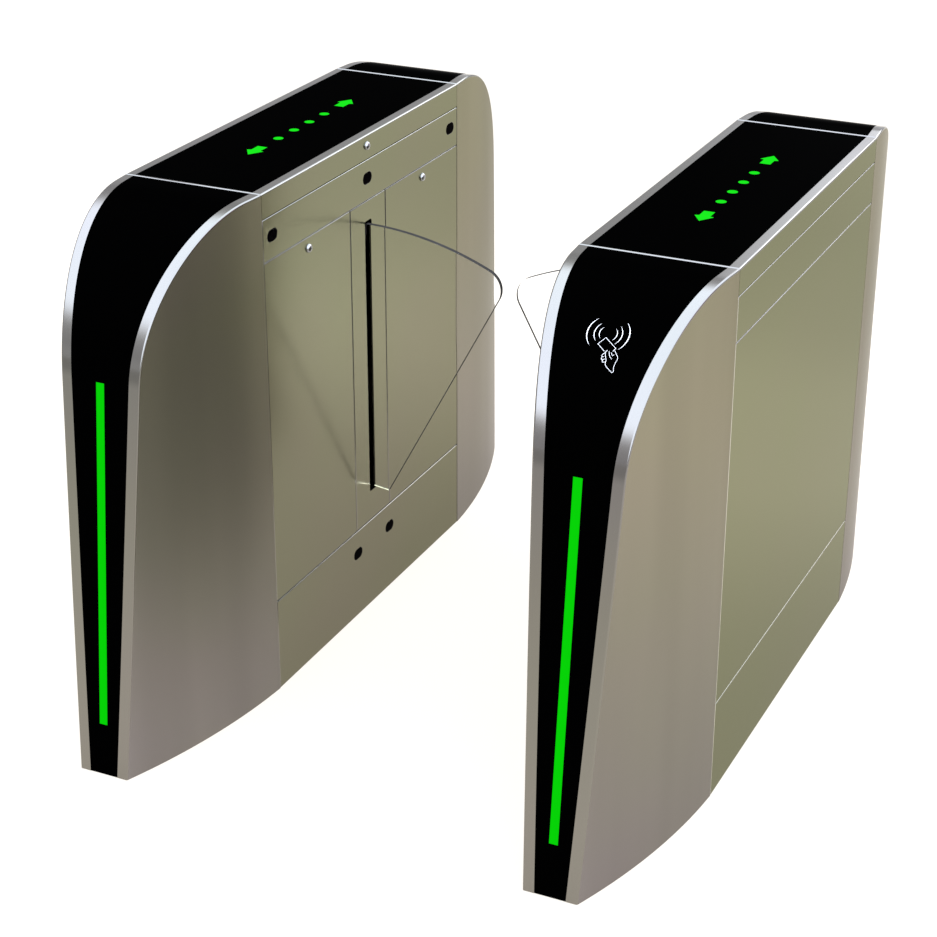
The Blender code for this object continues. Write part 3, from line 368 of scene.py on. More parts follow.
def end_shell(end):
    """Curved end of folded sheet: sides, rounded edges, bright trims and the pocket for the strip.

    The first rows slope down to the seam and make the lip; the pocket starts at the fourth.
    """
    bm = bmesh.new()
    outer, inner = [], []
    lip = SHELL_START + LIP_WIDTH
    rows = profile_rows((SHELL_START, SHELL_START + LIP_SLOPE, lip, lip))
    pocket_row = 3
    for index, row in enumerate(rows):
        u, z, angle = row
        seat = 0.0 if index < pocket_row else STRIP_SEAT
        edge = Vector((plan_half(u), end * u, z))
        up = Vector((0.0, end * math.cos(angle), math.sin(angle)))
        across, along = plan_normal(u)
        side = Vector((across, end * along, 0.0))
        centre = edge - (up + side) * (EDGE_ROUND / (1 + up.dot(side)))
        half = [centre + side.slerp(up, k / ROUND_STEPS) * EDGE_ROUND for k in range(ROUND_STEPS + 1)]
        half.insert(0, Vector((half[0].x, half[0].y, FOOT_GAP)))
        half.append(on_profile(end, row, plan_half(u, TRIM_WIDTH)))
        half.append(on_profile(end, row, plan_half(u, TRIM_WIDTH), seat))
        for point in half:
            if index == 0:
                point.y = end * SHELL_START
                point.z = min(point.z, HEIGHT - LIP_DROP)
            point.z = FOOT_GAP if index == len(rows) - 1 else max(point.z, FOOT_GAP)
        full = half + [Vector((-p.x, p.y, p.z)) for p in half[::-1]]
        outer.append([bm.verts.new(p) for p in full])
        under = on_profile(end, row, 0.0, WEB_DEPTH)
        under.z = FOOT_GAP if index == len(rows) - 1 else max(under.z, FOOT_GAP)
        x = plan_half(abs(under.y), SHEET)
        places = [(x, FOOT_GAP), (x, under.z), (-x, under.z), (-x, FOOT_GAP)]
        inner.append([bm.verts.new((a, under.y, b)) for a, b in places])
    side_columns, web = {0, len(outer[0]) - 2}, len(outer[0]) // 2 - 1
    for index, (first, second) in enumerate(zip(outer, outer[1:])):
        for j in range(len(first) - 1):
            face = bm.faces.new((first[j], first[j + 1], second[j + 1], second[j]))
            face.material_index = 0 if j in side_columns or (j == web and index >= pocket_row) else 1
    for first, second in zip(inner, inner[1:]):
        for j in range(len(first) - 1):
            bm.faces.new((first[j], first[j + 1], second[j + 1], second[j]))
    bm.faces.new(outer[0] + inner[0][::-1])
    foot = [row[0] for row in outer] + outer[-1][1:-1] + [row[-1] for row in outer[::-1]]
    foot += [row[-1] for row in inner] + inner[-1][1:-1][::-1] + [row[0] for row in inner[::-1]]
    bm.faces.new(foot)
    return gathered(finished(bm), seam_flange(end))


FLANGE_WIDTH, FLANGE_HEAD, FLANGE_FOOT, FLANGE_SEAT = 0.025, 0.030, 0.0075, 0.0002


def seam_flange(end):
    """Flange round the inside of the shell's open end."""
    outer_half, outer_top = HALF_WIDTH - SHEET - FLANGE_GAP, HEIGHT - WEB_DEPTH - FLANGE_SEAT
    inner_half, inner_top = HALF_WIDTH - FLANGE_WIDTH, HEIGHT - FLANGE_HEAD
    foot = FLANGE_FOOT
    outline = [(-outer_half, foot), (-outer_half, outer_top), (outer_half, outer_top), (outer_half, foot),
               (inner_half, foot), (inner_half, inner_top), (-inner_half, inner_top), (-inner_half, foot)]
    low, high = sorted((end * (SHELL_START + FLANGE_SEAT), end * (SHELL_START + SHEET)))
    return plate("XZ", outline, low, high)


LIGHT_HALF, LIGHT_TOP, LIGHT_FOOT = 0.0080, 0.7415, 0.1005


def end_strip(end):
    """Black strip that follows the curve between the trims, with the light's window."""
    rows = profile_rows((SHELL_START + LIP_WIDTH + STRIP_GAP,), FOOT_GAP + STRIP_EDGE,
                        (LIGHT_TOP, LIGHT_FOOT))
    tops, lows = [], []
    for row in rows:
        half = plan_half(row[0], TRIM_WIDTH + STRIP_GAP)
        xs = (-half, -LIGHT_HALF, LIGHT_HALF, half)
        tops.append([on_profile(end, row, x) for x in xs])
        lows.append([on_profile(end, row, x, STRIP_THICKNESS) for x in xs])
    window = {i for i, row in enumerate(rows) if LIGHT_FOOT < row[1] <= LIGHT_TOP}
    return bevelled(slab(tops, lows, lambda i, j: not (j == 1 and i in window)), STRIP_EDGE, 1)


def end_light(end):
    """Light bar in the strip's window."""
    rows = [row for row in profile_rows(lean_heights=(LIGHT_TOP - LIGHT_GAP, LIGHT_FOOT + LIGHT_GAP))
            if LIGHT_FOOT < row[1] < LIGHT_TOP]
    xs = (LIGHT_GAP - LIGHT_HALF, LIGHT_HALF - LIGHT_GAP)
    tops = [[on_profile(end, row, x, LIGHT_GAP) for x in xs] for row in rows]
    lows = [[on_profile(end, row, x, STRIP_THICKNESS) for x in xs] for row in rows]
    return slab(tops, lows)


# The contactless pictogram on the strip: waves with their radius and width, a plain card, a simple hand

WAVE_CENTRE = 0.1876
WAVES = ((0.0145, 0.0010), (0.0228, 0.0012), (0.0345, 0.0015))
WAVE_TAPER = 0.2
WAVE_STEPS = 24
LINE_WIDTH = 0.00065
LINE_OVERRUN = 0.0004
PRINT_RISE, PRINT_SINK = 0.00012, 0.00005
CARD_LINE = [(0.0034, 0.2187), (-0.0108, 0.2081), (-0.0013, 0.1951), (0.0201, 0.2110), (0.0170, 0.2162)]
HAND_LINES = [
    [(0.0193, 0.2145), (0.0239, 0.2203), (0.0280, 0.2265), (0.0266, 0.2345), (0.0258, 0.2425),
     (0.0272, 0.2482), (0.0258, 0.2510), (0.0228, 0.2497), (0.0117, 0.2410), (0.0105, 0.2330),
     (0.0058, 0.2210), (0.0079, 0.2162)],
    [(0.0056, 0.2208), (0.0020, 0.2250), (0.0026, 0.2282), (0.0060, 0.2275)],
    [(0.0026, 0.2282), (0.0024, 0.2318), (0.0048, 0.2335), (0.0080, 0.2312)],
    [(0.0048, 0.2335), (0.0058, 0.2368), (0.0104, 0.2362)],
    [(0.0109, 0.2173), (0.0141, 0.2251), (0.0190, 0.2300)],
    [(0.0150, 0.2190), (0.0185, 0.2235), (0.0205, 0.2215)],
]


def on_strip(x, along, depth):
    """A place on the rear end's curved strip: x across it, and the way along it from the curve's start."""
    return on_profile(1, arc_row(math.pi / 2 - along / PROFILE_RADIUS), -x, depth)


def smoothed(points):
    """Catmull-Rom curve through the points."""
    points = [Vector(p) for p in points]
    points = [2 * points[0] - points[1], *points, 2 * points[-1] - points[-2]]
    curve = []
    for a, b, c, d in zip(points, points[1:], points[2:], points[3:]):
        for k in range(CURVE_STEPS):
            t = k / CURVE_STEPS
            curve.append(0.5 * (2 * b + (c - a) * t + (2 * a - 5 * b + 4 * c - d) * t ** 2
                                + (3 * b - a - 3 * c + d) * t ** 3))
    return curve + [points[-2]]


def stroke(points, width, taper=1.0):
    """Printed line on the strip, a little raised; a taper below 1 thins its two ends."""
    tops, lows = [], []
    for i, point in enumerate(points):
        before, after = points[max(i - 1, 0)], points[min(i + 1, len(points) - 1)]
        run = (after - before).normalized()
        share = taper + (1 - taper) * math.sin(math.pi * i / (len(points) - 1))
        side = Vector((-run.y, run.x)) * (width * share / 2)
        pair = (point + side, point - side)
        tops.append([on_strip(p.x, p.y, -PRINT_RISE) for p in pair])
        lows.append([on_strip(p.x, p.y, PRINT_SINK) for p in pair])
    return slab(tops, lows)


def contact_mark():
    strokes = []
    for radius, width in WAVES:
        for start in (-45, 135):
            wave = arc((0.0, WAVE_CENTRE), radius, math.radians(start), math.radians(start + 90), WAVE_STEPS)
            strokes.append(stroke([Vector(p) for p in wave], width, WAVE_TAPER))
    for first, second in zip(CARD_LINE, CARD_LINE[1:]):
        run = (Vector(second) - Vector(first)).normalized() * LINE_OVERRUN
        strokes.append(stroke([Vector(first) - run, Vector(second) + run], LINE_WIDTH))
    strokes += [stroke(smoothed(line), LINE_WIDTH) for line in HAND_LINES]
    return gathered(*strokes)


# The lid

WINDOW_HALF, WINDOW_END = 0.0223, 0.2118
GUIDE_HALF, GUIDE_END, GUIDE_DEPTH, GUIDE_ROUND = 0.022, 0.2115, 0.008, 0.0015
SCREW_PLACES = [(x, y, 0.0) for x in (-0.016, 0.016) for y in (-0.204, -0.068, 0.068, 0.204)]
SCREW_RADIUS, SCREW_FOOT, SCREW_HEAD, SCREW_CHAMFER = 0.0028, 0.0092, 0.007, 0.0006
TAIL_PLACES, TAIL_HALF, TAIL_START, TAIL_STOP = (-0.005, 0.005), 0.003, 0.17, 0.2
TAIL_FOOT, TAIL_HEAD, TAIL_CORNER, TAIL_ROUND = 0.0095, 0.0075, 0.0015, 0.0004
LEVEL_TOLERANCE = 1e-5


def lid_shell():
    """Lid of folded sheet, with its pocket for the black panel and a window for the light guide."""
    right = arc((HALF_WIDTH - EDGE_ROUND, HEIGHT - EDGE_ROUND), EDGE_ROUND, 0.0, math.pi / 2, ROUND_STEPS)
    right.insert(0, (HALF_WIDTH, LID_FOOT))
    shell = plate("XZ", right + [(-x, z) for x, z in right[::-1]], -MIDDLE_END, MIDDLE_END)
    inner, inner_end = HALF_WIDTH - SHEET, MIDDLE_END - SHEET
    hollow = box((-inner, -inner_end, LID_FOOT - OVERRUN), (inner, inner_end, HEIGHT - WEB_DEPTH))
    pocket_half, pocket_end = HALF_WIDTH - TRIM_WIDTH, MIDDLE_END - LIP_WIDTH
    pocket = box((-pocket_half, -pocket_end, HEIGHT - STRIP_SEAT),
                 (pocket_half, pocket_end, HEIGHT + OVERRUN))
    window = box((-WINDOW_HALF, -WINDOW_END, HEIGHT - 2 * OVERRUN), (WINDOW_HALF, WINDOW_END, HEIGHT))
    slope = [(MIDDLE_END - LIP_SLOPE, HEIGHT), (MIDDLE_END + 0.001, HEIGHT + 0.001),
             (MIDDLE_END + LIP_SLOPE, HEIGHT - 2 * LIP_DROP), (MIDDLE_END, HEIGHT - LIP_DROP)]
    slopes = [plate("YZ", [(end * y, z) for y, z in slope], -HALF_WIDTH - OVERRUN, HALF_WIDTH + OVERRUN)
              for end in (-1, 1)]
    shell = cut(shell, hollow, pocket, window, *slopes)
    for polygon in shell.data.polygons:
        polygon.material_index = 1 if polygon.center.z > HEIGHT - EDGE_ROUND - LEVEL_TOLERANCE else 0
    pins = [rod("Y", (-TRUNNION_X, 0.0, LID_TRUNNION_Z), TRUNNION_RADIUS, low, high)
            for low, high in ((-TRUNNION_END, -inner_end), (inner_end, TRUNNION_END))]
    return with_islands(shell, pins)


ARROW_TIP, ARROW_WING, ARROW_NECK, ARROW_TAIL = 0.2045, 0.1775, 0.1745, 0.150
ARROW_HEAD_HALF, ARROW_SHAFT_HALF = 0.0178, 0.0102
DOT_RADIUS, DOT_SPACING = 0.0097, 0.0605


def light_outlines(gap):
    """The two arrows and the four dots between them, drawn in by a gap."""
    outlines = []
    for end in (-1, 1):
        half = [(0.0, ARROW_TIP - 2 * gap), (ARROW_HEAD_HALF - 2 * gap, ARROW_WING + gap),
                (ARROW_SHAFT_HALF - gap, ARROW_NECK + gap), (ARROW_SHAFT_HALF - gap, ARROW_TAIL + gap)]
        outlines.append([(x, end * y) for x, y in half + [(-x, y) for x, y in half[:0:-1]]])
    outlines += [circle((0.0, (i - 1.5) * DOT_SPACING), DOT_RADIUS - gap) for i in range(4)]
    return outlines


def lid_panel():
    half, end = HALF_WIDTH - TRIM_WIDTH - STRIP_GAP, MIDDLE_END - LIP_WIDTH - STRIP_GAP
    return plate("XY", rectangle(-half, half, -end, end), HEIGHT - STRIP_THICKNESS, HEIGHT,
                 light_outlines(0.0))


def lid_lights():
    """Lit arrows and dots on a light guide, with the guide's screws and cable tails under it."""
    seat = HEIGHT - STRIP_SEAT
    guide = box((-GUIDE_HALF, -GUIDE_END, seat - GUIDE_DEPTH), (GUIDE_HALF, GUIDE_END, seat))
    screws = [rod("Z", place, SCREW_RADIUS, seat - SCREW_FOOT, seat - SCREW_HEAD, SCREW_CHAMFER, 20)
              for place in SCREW_PLACES]
    loops = [rounded_rectangle(x - TAIL_HALF, x + TAIL_HALF, TAIL_START, TAIL_STOP, TAIL_CORNER, 4)
             for x in TAIL_PLACES]
    tails = [plate("XY", loop, seat - TAIL_FOOT, seat - TAIL_HEAD, rounding=TAIL_ROUND) for loop in loops]
    case = gathered(bevelled(guide, GUIDE_ROUND, 3), *screws, *tails)
    for polygon in case.data.polygons:
        polygon.material_index = 1
    lights = [plate("XY", loop, seat - GUIDE_DEPTH / 2, HEIGHT - LIGHT_GAP)
              for loop in light_outlines(LIGHT_GAP)]
    return with_islands(case, lights)


# The side panels

PLAIN_COSINE = 0.98


def with_bright_folds(face, rim=None, upright=1):
    """Second material on a face's rounded folds, and the upright ones may take another.

    The rim bounds a hole, as half width, foot and head, whose edge takes the third material.
    """
    for polygon in face.data.polygons:
        normal = polygon.normal
        if abs(normal.x) < PLAIN_COSINE:
            inside = rim and abs(polygon.center.y) < rim[0] and rim[1] < polygon.center.z < rim[2]
            polygon.material_index = 2 if inside else upright if abs(normal.y) > abs(normal.z) else 1
    return face


def tray(low_y, high_y, low_z, high_z, holes=(), rim=None, returns_to=TRAY_BACK):
    """Folded panel on the lane side: a face with rounded folds all round, and four returns behind it."""
    ring = rectangle(low_y, high_y, low_z, high_z)
    face = plate("YZ", ring, HALF_WIDTH - FACE_DEPTH, HALF_WIDTH, holes, FOLD_ROUND)
    inner_ring = rectangle(low_y + SHEET, high_y - SHEET, low_z + SHEET, high_z - SHEET)
    returns = plate("YZ", ring, returns_to, HALF_WIDTH - SHEET / 2, [inner_ring])
    return with_islands(with_bright_folds(face, rim), [returns])


UPPER_SENSORS = [(y, 0.915) for y in (-0.366, 0.0, 0.366)]
LOWER_SENSORS = [(y, 0.140) for y in (-0.070, 0.070)]
SENSOR_LENGTH, SENSOR_HEIGHT = 0.033, 0.020
RAIL_GAP, RAIL_HALF, RAIL_THICKNESS = 0.0003, 0.013, 0.006
SLOT_HALF, SLOT_FOOT, SLOT_HEAD, SLOT_CORNER = 0.0125, 0.257, 0.829, 0.004
SLOT_RIM = (0.016, 0.25, 0.84)


def sensor_band():
    holes = [capsule(place, SENSOR_LENGTH, SENSOR_HEIGHT) for place in UPPER_SENSORS]
    return tray(-MIDDLE_END, MIDDLE_END, SENSOR_LINE + BAND_GAP / 2, LID_LINE - BAND_GAP, holes)


def base_band():
    holes = [capsule(place, SENSOR_LENGTH, SENSOR_HEIGHT) for place in LOWER_SENSORS]
    return tray(-MIDDLE_END, MIDDLE_END, FOOT_GAP, BASE_LINE - BAND_GAP, holes)


def sensor_pads(places, growth, low, high, rounding):
    """Rounded pads over the sensors' holes, that much longer and higher than the holes."""
    return [plate("YZ", capsule(place, SENSOR_LENGTH + growth, SENSOR_HEIGHT + growth), low, high,
                  rounding=rounding) for place in places]


def sensor_set(places):
    """Dark windows with softly rounded faces, their thin rims, and the rail behind them."""
    face = HALF_WIDTH - FACE_DEPTH - RAIL_GAP
    reach = max(y for y, z in places) + SENSOR_LENGTH / 2 + 0.001
    z = places[0][1]
    rail = box((face - RAIL_THICKNESS, -reach, z - RAIL_HALF), (face, reach, z + RAIL_HALF))
    windows = sensor_pads(places, -0.0006, face - RAIL_THICKNESS / 2, HALF_WIDTH + 0.0004, 0.0012)
    rims = sensor_pads(places, 0.0026, HALF_WIDTH - 0.0009, HALF_WIDTH + 0.0003, 0.0003)
    return gathered(bevelled(rail, 0.0005), *windows, *rims)


def slot_panel():
    # The folds round the slot's hole take the black sensor finish: painted shade inside the slot
    hole = rounded_rectangle(-SLOT_HALF, SLOT_HALF, SLOT_FOOT, SLOT_HEAD, SLOT_CORNER)
    return tray(-SLOT_EDGE, SLOT_EDGE, DOOR_FOOT, DOOR_HEAD, [hole], SLOT_RIM)


def door(end):
    """Door at one side of the slot panel, with a pin at each end of its foot."""
    low, high = sorted((end * DOOR_EDGE, end * MIDDLE_END))
    panel = tray(low, high, DOOR_FOOT, DOOR_HEAD, returns_to=DOOR_BACK)
    reaches = [(MIDDLE_END - SHEET / 2, TRUNNION_END), (SLOT_EDGE - SHEET, DOOR_EDGE + SHEET / 2)]
    pins = [rod("Y", (TRUNNION_X, 0.0, DOOR_TRUNNION_Z), TRUNNION_RADIUS, *sorted((end * near, end * far)))
            for near, far in reaches]
    return with_islands(panel, pins)


def outer_panel():
    """Fixed panel on the side away from the lane: three faces with fine grooves between them."""
    head = LID_LINE - BAND_GAP
    levels = [(FOOT_GAP, BASE_LINE - GROOVE_HALF), (BASE_LINE + GROOVE_HALF, SENSOR_LINE - GROOVE_HALF),
              (SENSOR_LINE + GROOVE_HALF, head)]
    faces = [plate("YZ", rectangle(-MIDDLE_END, MIDDLE_END, *level), -HALF_WIDTH, -HALF_WIDTH + FACE_DEPTH,
                   rounding=OUTER_ROUND) for level in levels]
    # The upright folds at the panel's ends take a much paler steel: a painted highlight along the seams
    faces = [with_bright_folds(face, upright=2) for face in faces]
    end, backing = MIDDLE_END - SHEET / 2, 0.003
    grooves = [box((-HALF_WIDTH + GROOVE_DEPTH, -end, line - backing),
                   (-HALF_WIDTH + SHEET, end, line + backing)) for line in (BASE_LINE, SENSOR_LINE)]
    ring = rectangle(-MIDDLE_END, MIDDLE_END, FOOT_GAP, head)
    inner = rectangle(-MIDDLE_END + SHEET, MIDDLE_END - SHEET, FOOT_GAP + SHEET, head - SHEET)
    returns = plate("YZ", ring, -HALF_WIDTH + SHEET / 2, -TRAY_BACK, [inner])
    return with_islands(faces[0], [*faces[1:], *grooves, returns])


# Locks

LOCK_RADIUS, LOCK_RISE, LOCK_RIM, LOCK_GAP = 0.0085, 0.0062, 0.0012, 0.0003
BARREL_RADIUS, BARREL_LENGTH = 0.006, 0.0278
KEYWAY_FLOOR, KEYWAY_HALF_WIDTH, KEYWAY_HALF_LENGTH = 0.0042, 0.0004, 0.0030
NUT_RADIUS, NUT_BACK, NUT_FRONT = 0.0095, 0.0065, 0.0025
CAM_BACK, CAM_FRONT, CAM_HUB_RADIUS, CAM_TIP_RADIUS = 0.1092, 0.1122, 0.007, 0.006
CAM_SCREW_RADIUS, CAM_SCREW_END = 0.0035, 0.1067
LOCK_EDGE = 0.0004


def cam_lock(y, z, cam_length, direction):
    """Cam lock: domed chrome head with a keyway, threaded barrel with a nut, and a cam."""
    dome = [(0.0, LOCK_RISE)]
    dome += [(LOCK_RADIUS * math.sin(a) * 0.96, LOCK_RIM + (LOCK_RISE - LOCK_RIM) * math.cos(a))
             for a in (math.radians(10 * k) for k in range(1, 10))]
    dome += [(LOCK_RADIUS, LOCK_RIM * 0.7), (LOCK_RADIUS, LOCK_GAP), (BARREL_RADIUS, LOCK_GAP),
             (BARREL_RADIUS, -BARREL_LENGTH), (0.0, -BARREL_LENGTH)]
    head = turned(dome[::-1], "X", (HALF_WIDTH, y, z))
    keyway = box((HALF_WIDTH + KEYWAY_FLOOR, y - KEYWAY_HALF_WIDTH, z - KEYWAY_HALF_LENGTH),
                 (HALF_WIDTH + OVERRUN, y + KEYWAY_HALF_WIDTH, z + KEYWAY_HALF_LENGTH))
    head = cut(head, keyway)
    corners = [(y + NUT_RADIUS * math.cos(k * math.pi / 3), z + NUT_RADIUS * math.sin(k * math.pi / 3))
               for k in range(6)]
    nut = plate("YZ", corners, HALF_WIDTH - NUT_BACK, HALF_WIDTH - NUT_FRONT, rounding=LOCK_EDGE)
    bar = arc((y, z), CAM_HUB_RADIUS, math.pi / 2, 3 * math.pi / 2, 12)
    bar += arc((y + cam_length - CAM_TIP_RADIUS, z), CAM_TIP_RADIUS, -math.pi / 2, math.pi / 2, 12)
    bar = [(y + direction * (a - y), b) for a, b in bar]
    cam = plate("YZ", bar, CAM_BACK, CAM_FRONT, rounding=LOCK_EDGE)
    screw = rod("X", (0.0, y, z), CAM_SCREW_RADIUS, CAM_SCREW_END, CAM_BACK, 0.0005, 24)
    return gathered(head, nut, cam, screw)


# Flap, with sizes shared with the CAD source

LANE_WIDTH = 0.600
FLAP_TIP_GAP = 0.0326
FLAP_RADIUS = 0.6465
FLAP_CENTRE_X, FLAP_HEAD = 0.136, 0.8235
FLAP_START_X = 0.1365
FLAP_CORNER = 0.040
FLAP_SLANT = math.radians(28.2)
FLAP_FOOT, FLAP_FOOT_SLOPE = 0.262, 0.007
TONGUE_BACK, TONGUE_FRONT, TONGUE_FOOT, TONGUE_HEAD = 0.084, 0.124, 0.1135, 0.300
FLAP_HALF_THICKNESS = 0.005


def flap_outline():
    """Outline of the clear sheet: its curved head, rounded tip, slanting edge, foot and tongue."""
    centre = (FLAP_CENTRE_X, FLAP_HEAD - FLAP_RADIUS)
    corner_x = HALF_WIDTH + (LANE_WIDTH - FLAP_TIP_GAP) / 2 - FLAP_CORNER
    corner_z = centre[1] + math.sqrt((FLAP_RADIUS - FLAP_CORNER) ** 2 - (corner_x - centre[0]) ** 2)
    first = math.acos((FLAP_START_X - centre[0]) / FLAP_RADIUS)
    last = math.atan2(corner_z - centre[1], corner_x - centre[0])
    points = arc(centre, FLAP_RADIUS, first, last, 72)
    points += arc((corner_x, corner_z), FLAP_CORNER, last, -FLAP_SLANT, 24)[1:]
    edge_x, edge_z = points[-1]
    points.append((edge_x - (edge_z - FLAP_FOOT) * math.tan(FLAP_SLANT), FLAP_FOOT))
    points += [(TONGUE_FRONT, FLAP_FOOT + FLAP_FOOT_SLOPE), (TONGUE_FRONT, TONGUE_FOOT),
               (TONGUE_BACK, TONGUE_FOOT), (TONGUE_BACK, TONGUE_HEAD)]
    return points


def flap():
    """Clear sheet whose curved and slanting edges, which face up or out, take a dark finish: painted shade on
    these edges.
    """
    sheet = plate("XZ", flap_outline(), -FLAP_HALF_THICKNESS, FLAP_HALF_THICKNESS, rounding=0.0005, steps=1)
    for polygon in sheet.data.polygons:
        normal = polygon.normal
        shaded_edge = abs(normal.y) < 0.9 and (normal.z > 0.05 or normal.x > 0.4)
        polygon.material_index = 1 if shaded_edge else 0
    return sheet


# Material helpers

class Graph:
    """A material's node tree with its Principled shader, and short ways to add nodes to it."""

    def __init__(self, name):
        self.material = bpy.data.materials.new(name)
        self.material.use_nodes = True
        self.tree = self.material.node_tree
        self.shader = self.tree.nodes["Principled BSDF"]
        self.place = self.node("ShaderNodeTexCoord").outputs["Object"]

    def node(self, kind, **settings):
        made = self.tree.nodes.new(kind)
        for key, value in settings.items():
            setattr(made, key, value)
        return made

    def put(self, socket, value):
        if isinstance(value, bpy.types.NodeSocket):
            self.tree.links.new(value, socket)
        else:
            socket.default_value = value

    def set(self, **values):
        for key, value in values.items():
            self.put(self.shader.inputs[key.replace("_", " ")], value)

    def scaled(self, scale):
        made = self.node("ShaderNodeMapping")
        self.put(made.inputs["Vector"], self.place)
        made.inputs["Scale"].default_value = scale
        return made.outputs["Vector"]

    def noise(self, scale, detail=3.0, roughness=0.55, at=(1.0, 1.0, 1.0)):
        made = self.node("ShaderNodeTexNoise")
        self.put(made.inputs["Vector"], self.scaled(at))
        made.inputs["Scale"].default_value = scale
        made.inputs["Detail"].default_value = detail
        made.inputs["Roughness"].default_value = roughness
        return made.outputs["Fac"]

    def ranged(self, value, low, high, from_low=0.25, from_high=0.75):
        made = self.node("ShaderNodeMapRange")
        for key, number in (("Value", value), ("From Min", from_low), ("From Max", from_high),
                            ("To Min", low), ("To Max", high)):
            self.put(made.inputs[key], number)
        return made.outputs["Result"]

    def mixed(self, factor, first, second):
        made = self.node("ShaderNodeMix", data_type="RGBA")
        self.put(made.inputs["Factor"], factor)
        self.put(made.inputs["A"], (*first, 1.0))
        self.put(made.inputs["B"], (*second, 1.0))
        return made.outputs["Result"]

    def multiplied(self, first, second):
        made = self.node("ShaderNodeMix", data_type="RGBA", blend_type="MULTIPLY")
        for key, value in (("Factor", 1.0), ("A", first), ("B", second)):
            self.put(made.inputs[key], value)
        return made.outputs["Result"]

    def along(self, axis):
        made = self.node("ShaderNodeSeparateXYZ")
        self.put(made.inputs["Vector"], self.place)
        return made.outputs[axis]

    def bump(self, value, strength, distance):
        made = self.node("ShaderNodeBump")
        made.inputs["Strength"].default_value = strength
        made.inputs["Distance"].default_value = distance
        self.put(made.inputs["Height"], value)
        self.set(Normal=made.outputs["Normal"])


def steel(name, high, low, edge, rough, grain, bump=0.012, painted_shade_heights=(0.05, 0.80), stretch=0.0, bands=0.0):
    """Brushed steel: fine grain, a slow drift of tone, and a colour that changes with the height, darker and
    browner lower down: painted shade and painted reflection of the floor.

    Stretch draws its reflections out, and bands adds soft upright bands of tone.
    """
    graph = Graph(name)
    fine = graph.noise(1.0, 2.0, 0.6, grain)
    slow = graph.noise(2.2, 2.0)
    # Colour by height is painted shade and painted reflection: from the foot's colour up to the top's
    tone = graph.mixed(graph.ranged(graph.along("Z"), 0.0, 1.0, *painted_shade_heights), low, high)
    shade = graph.mixed(graph.ranged(slow, 0.0, 1.0), (1.020, 0.980, 1.020), (0.985, 1.015, 0.955))
    if bands:
        upright = graph.noise(1.0, 1.5, 0.5, (9.0, 9.0, 0.9))
        pale, dark = (1 + bands,) * 3, (1 - bands,) * 3
        tone = graph.multiplied(tone, graph.mixed(graph.ranged(upright, 0.0, 1.0), dark, pale))
    graph.set(Base_Color=graph.multiplied(tone, shade), Metallic=1.0, Specular_Tint=(*edge, 1.0),
              Roughness=graph.ranged(fine, rough - 0.02, rough + 0.02))
    if stretch:
        tangent = graph.node("ShaderNodeTangent", direction_type="RADIAL", axis="Z")
        graph.set(Anisotropic=stretch, Anisotropic_Rotation=0.25, Tangent=tangent.outputs["Tangent"])
    graph.bump(fine, bump, 0.0002)
    return graph.material


def plain(name, colour, roughness, metallic=0.0, spread=0.06, scale=40.0, bump=0.0, ior=1.45):
    """Even finish whose tone and roughness drift a little over the surface."""
    graph = Graph(name)
    drift = graph.noise(scale)
    darker = tuple(c * (1 - spread) for c in colour)
    graph.set(Base_Color=graph.mixed(graph.ranged(drift, 0.0, 1.0), darker, colour), Metallic=metallic,
              Roughness=graph.ranged(drift, roughness * 0.9, roughness * 1.1), IOR=ior)
    if bump:
        graph.bump(drift, bump, 0.0003)
    return graph.material


def lit(name, colour, strength):
    """Lit diffuser: the tone drifts a little along it, as over its row of lamps."""
    graph = Graph(name)
    drift = graph.noise(30.0, 1.0)
    tone = graph.mixed(graph.ranged(drift, 0.0, 1.0), tuple(c * 0.97 for c in colour), colour)
    graph.set(Base_Color=(0.0, 0.004, 0.0, 1.0), Roughness=0.4, Emission_Color=tone,
              Emission_Strength=strength, Specular_IOR_Level=0.0)
    return graph.material


def clear(name):
    """Clear plastic sheet, very faintly hazed."""
    graph = Graph(name)
    drift = graph.noise(12.0)
    graph.set(Base_Color=(0.985, 0.99, 0.99, 1.0), Roughness=graph.ranged(drift, 0.0, 0.02),
              Transmission_Weight=1.0, IOR=1.49)
    return graph.material


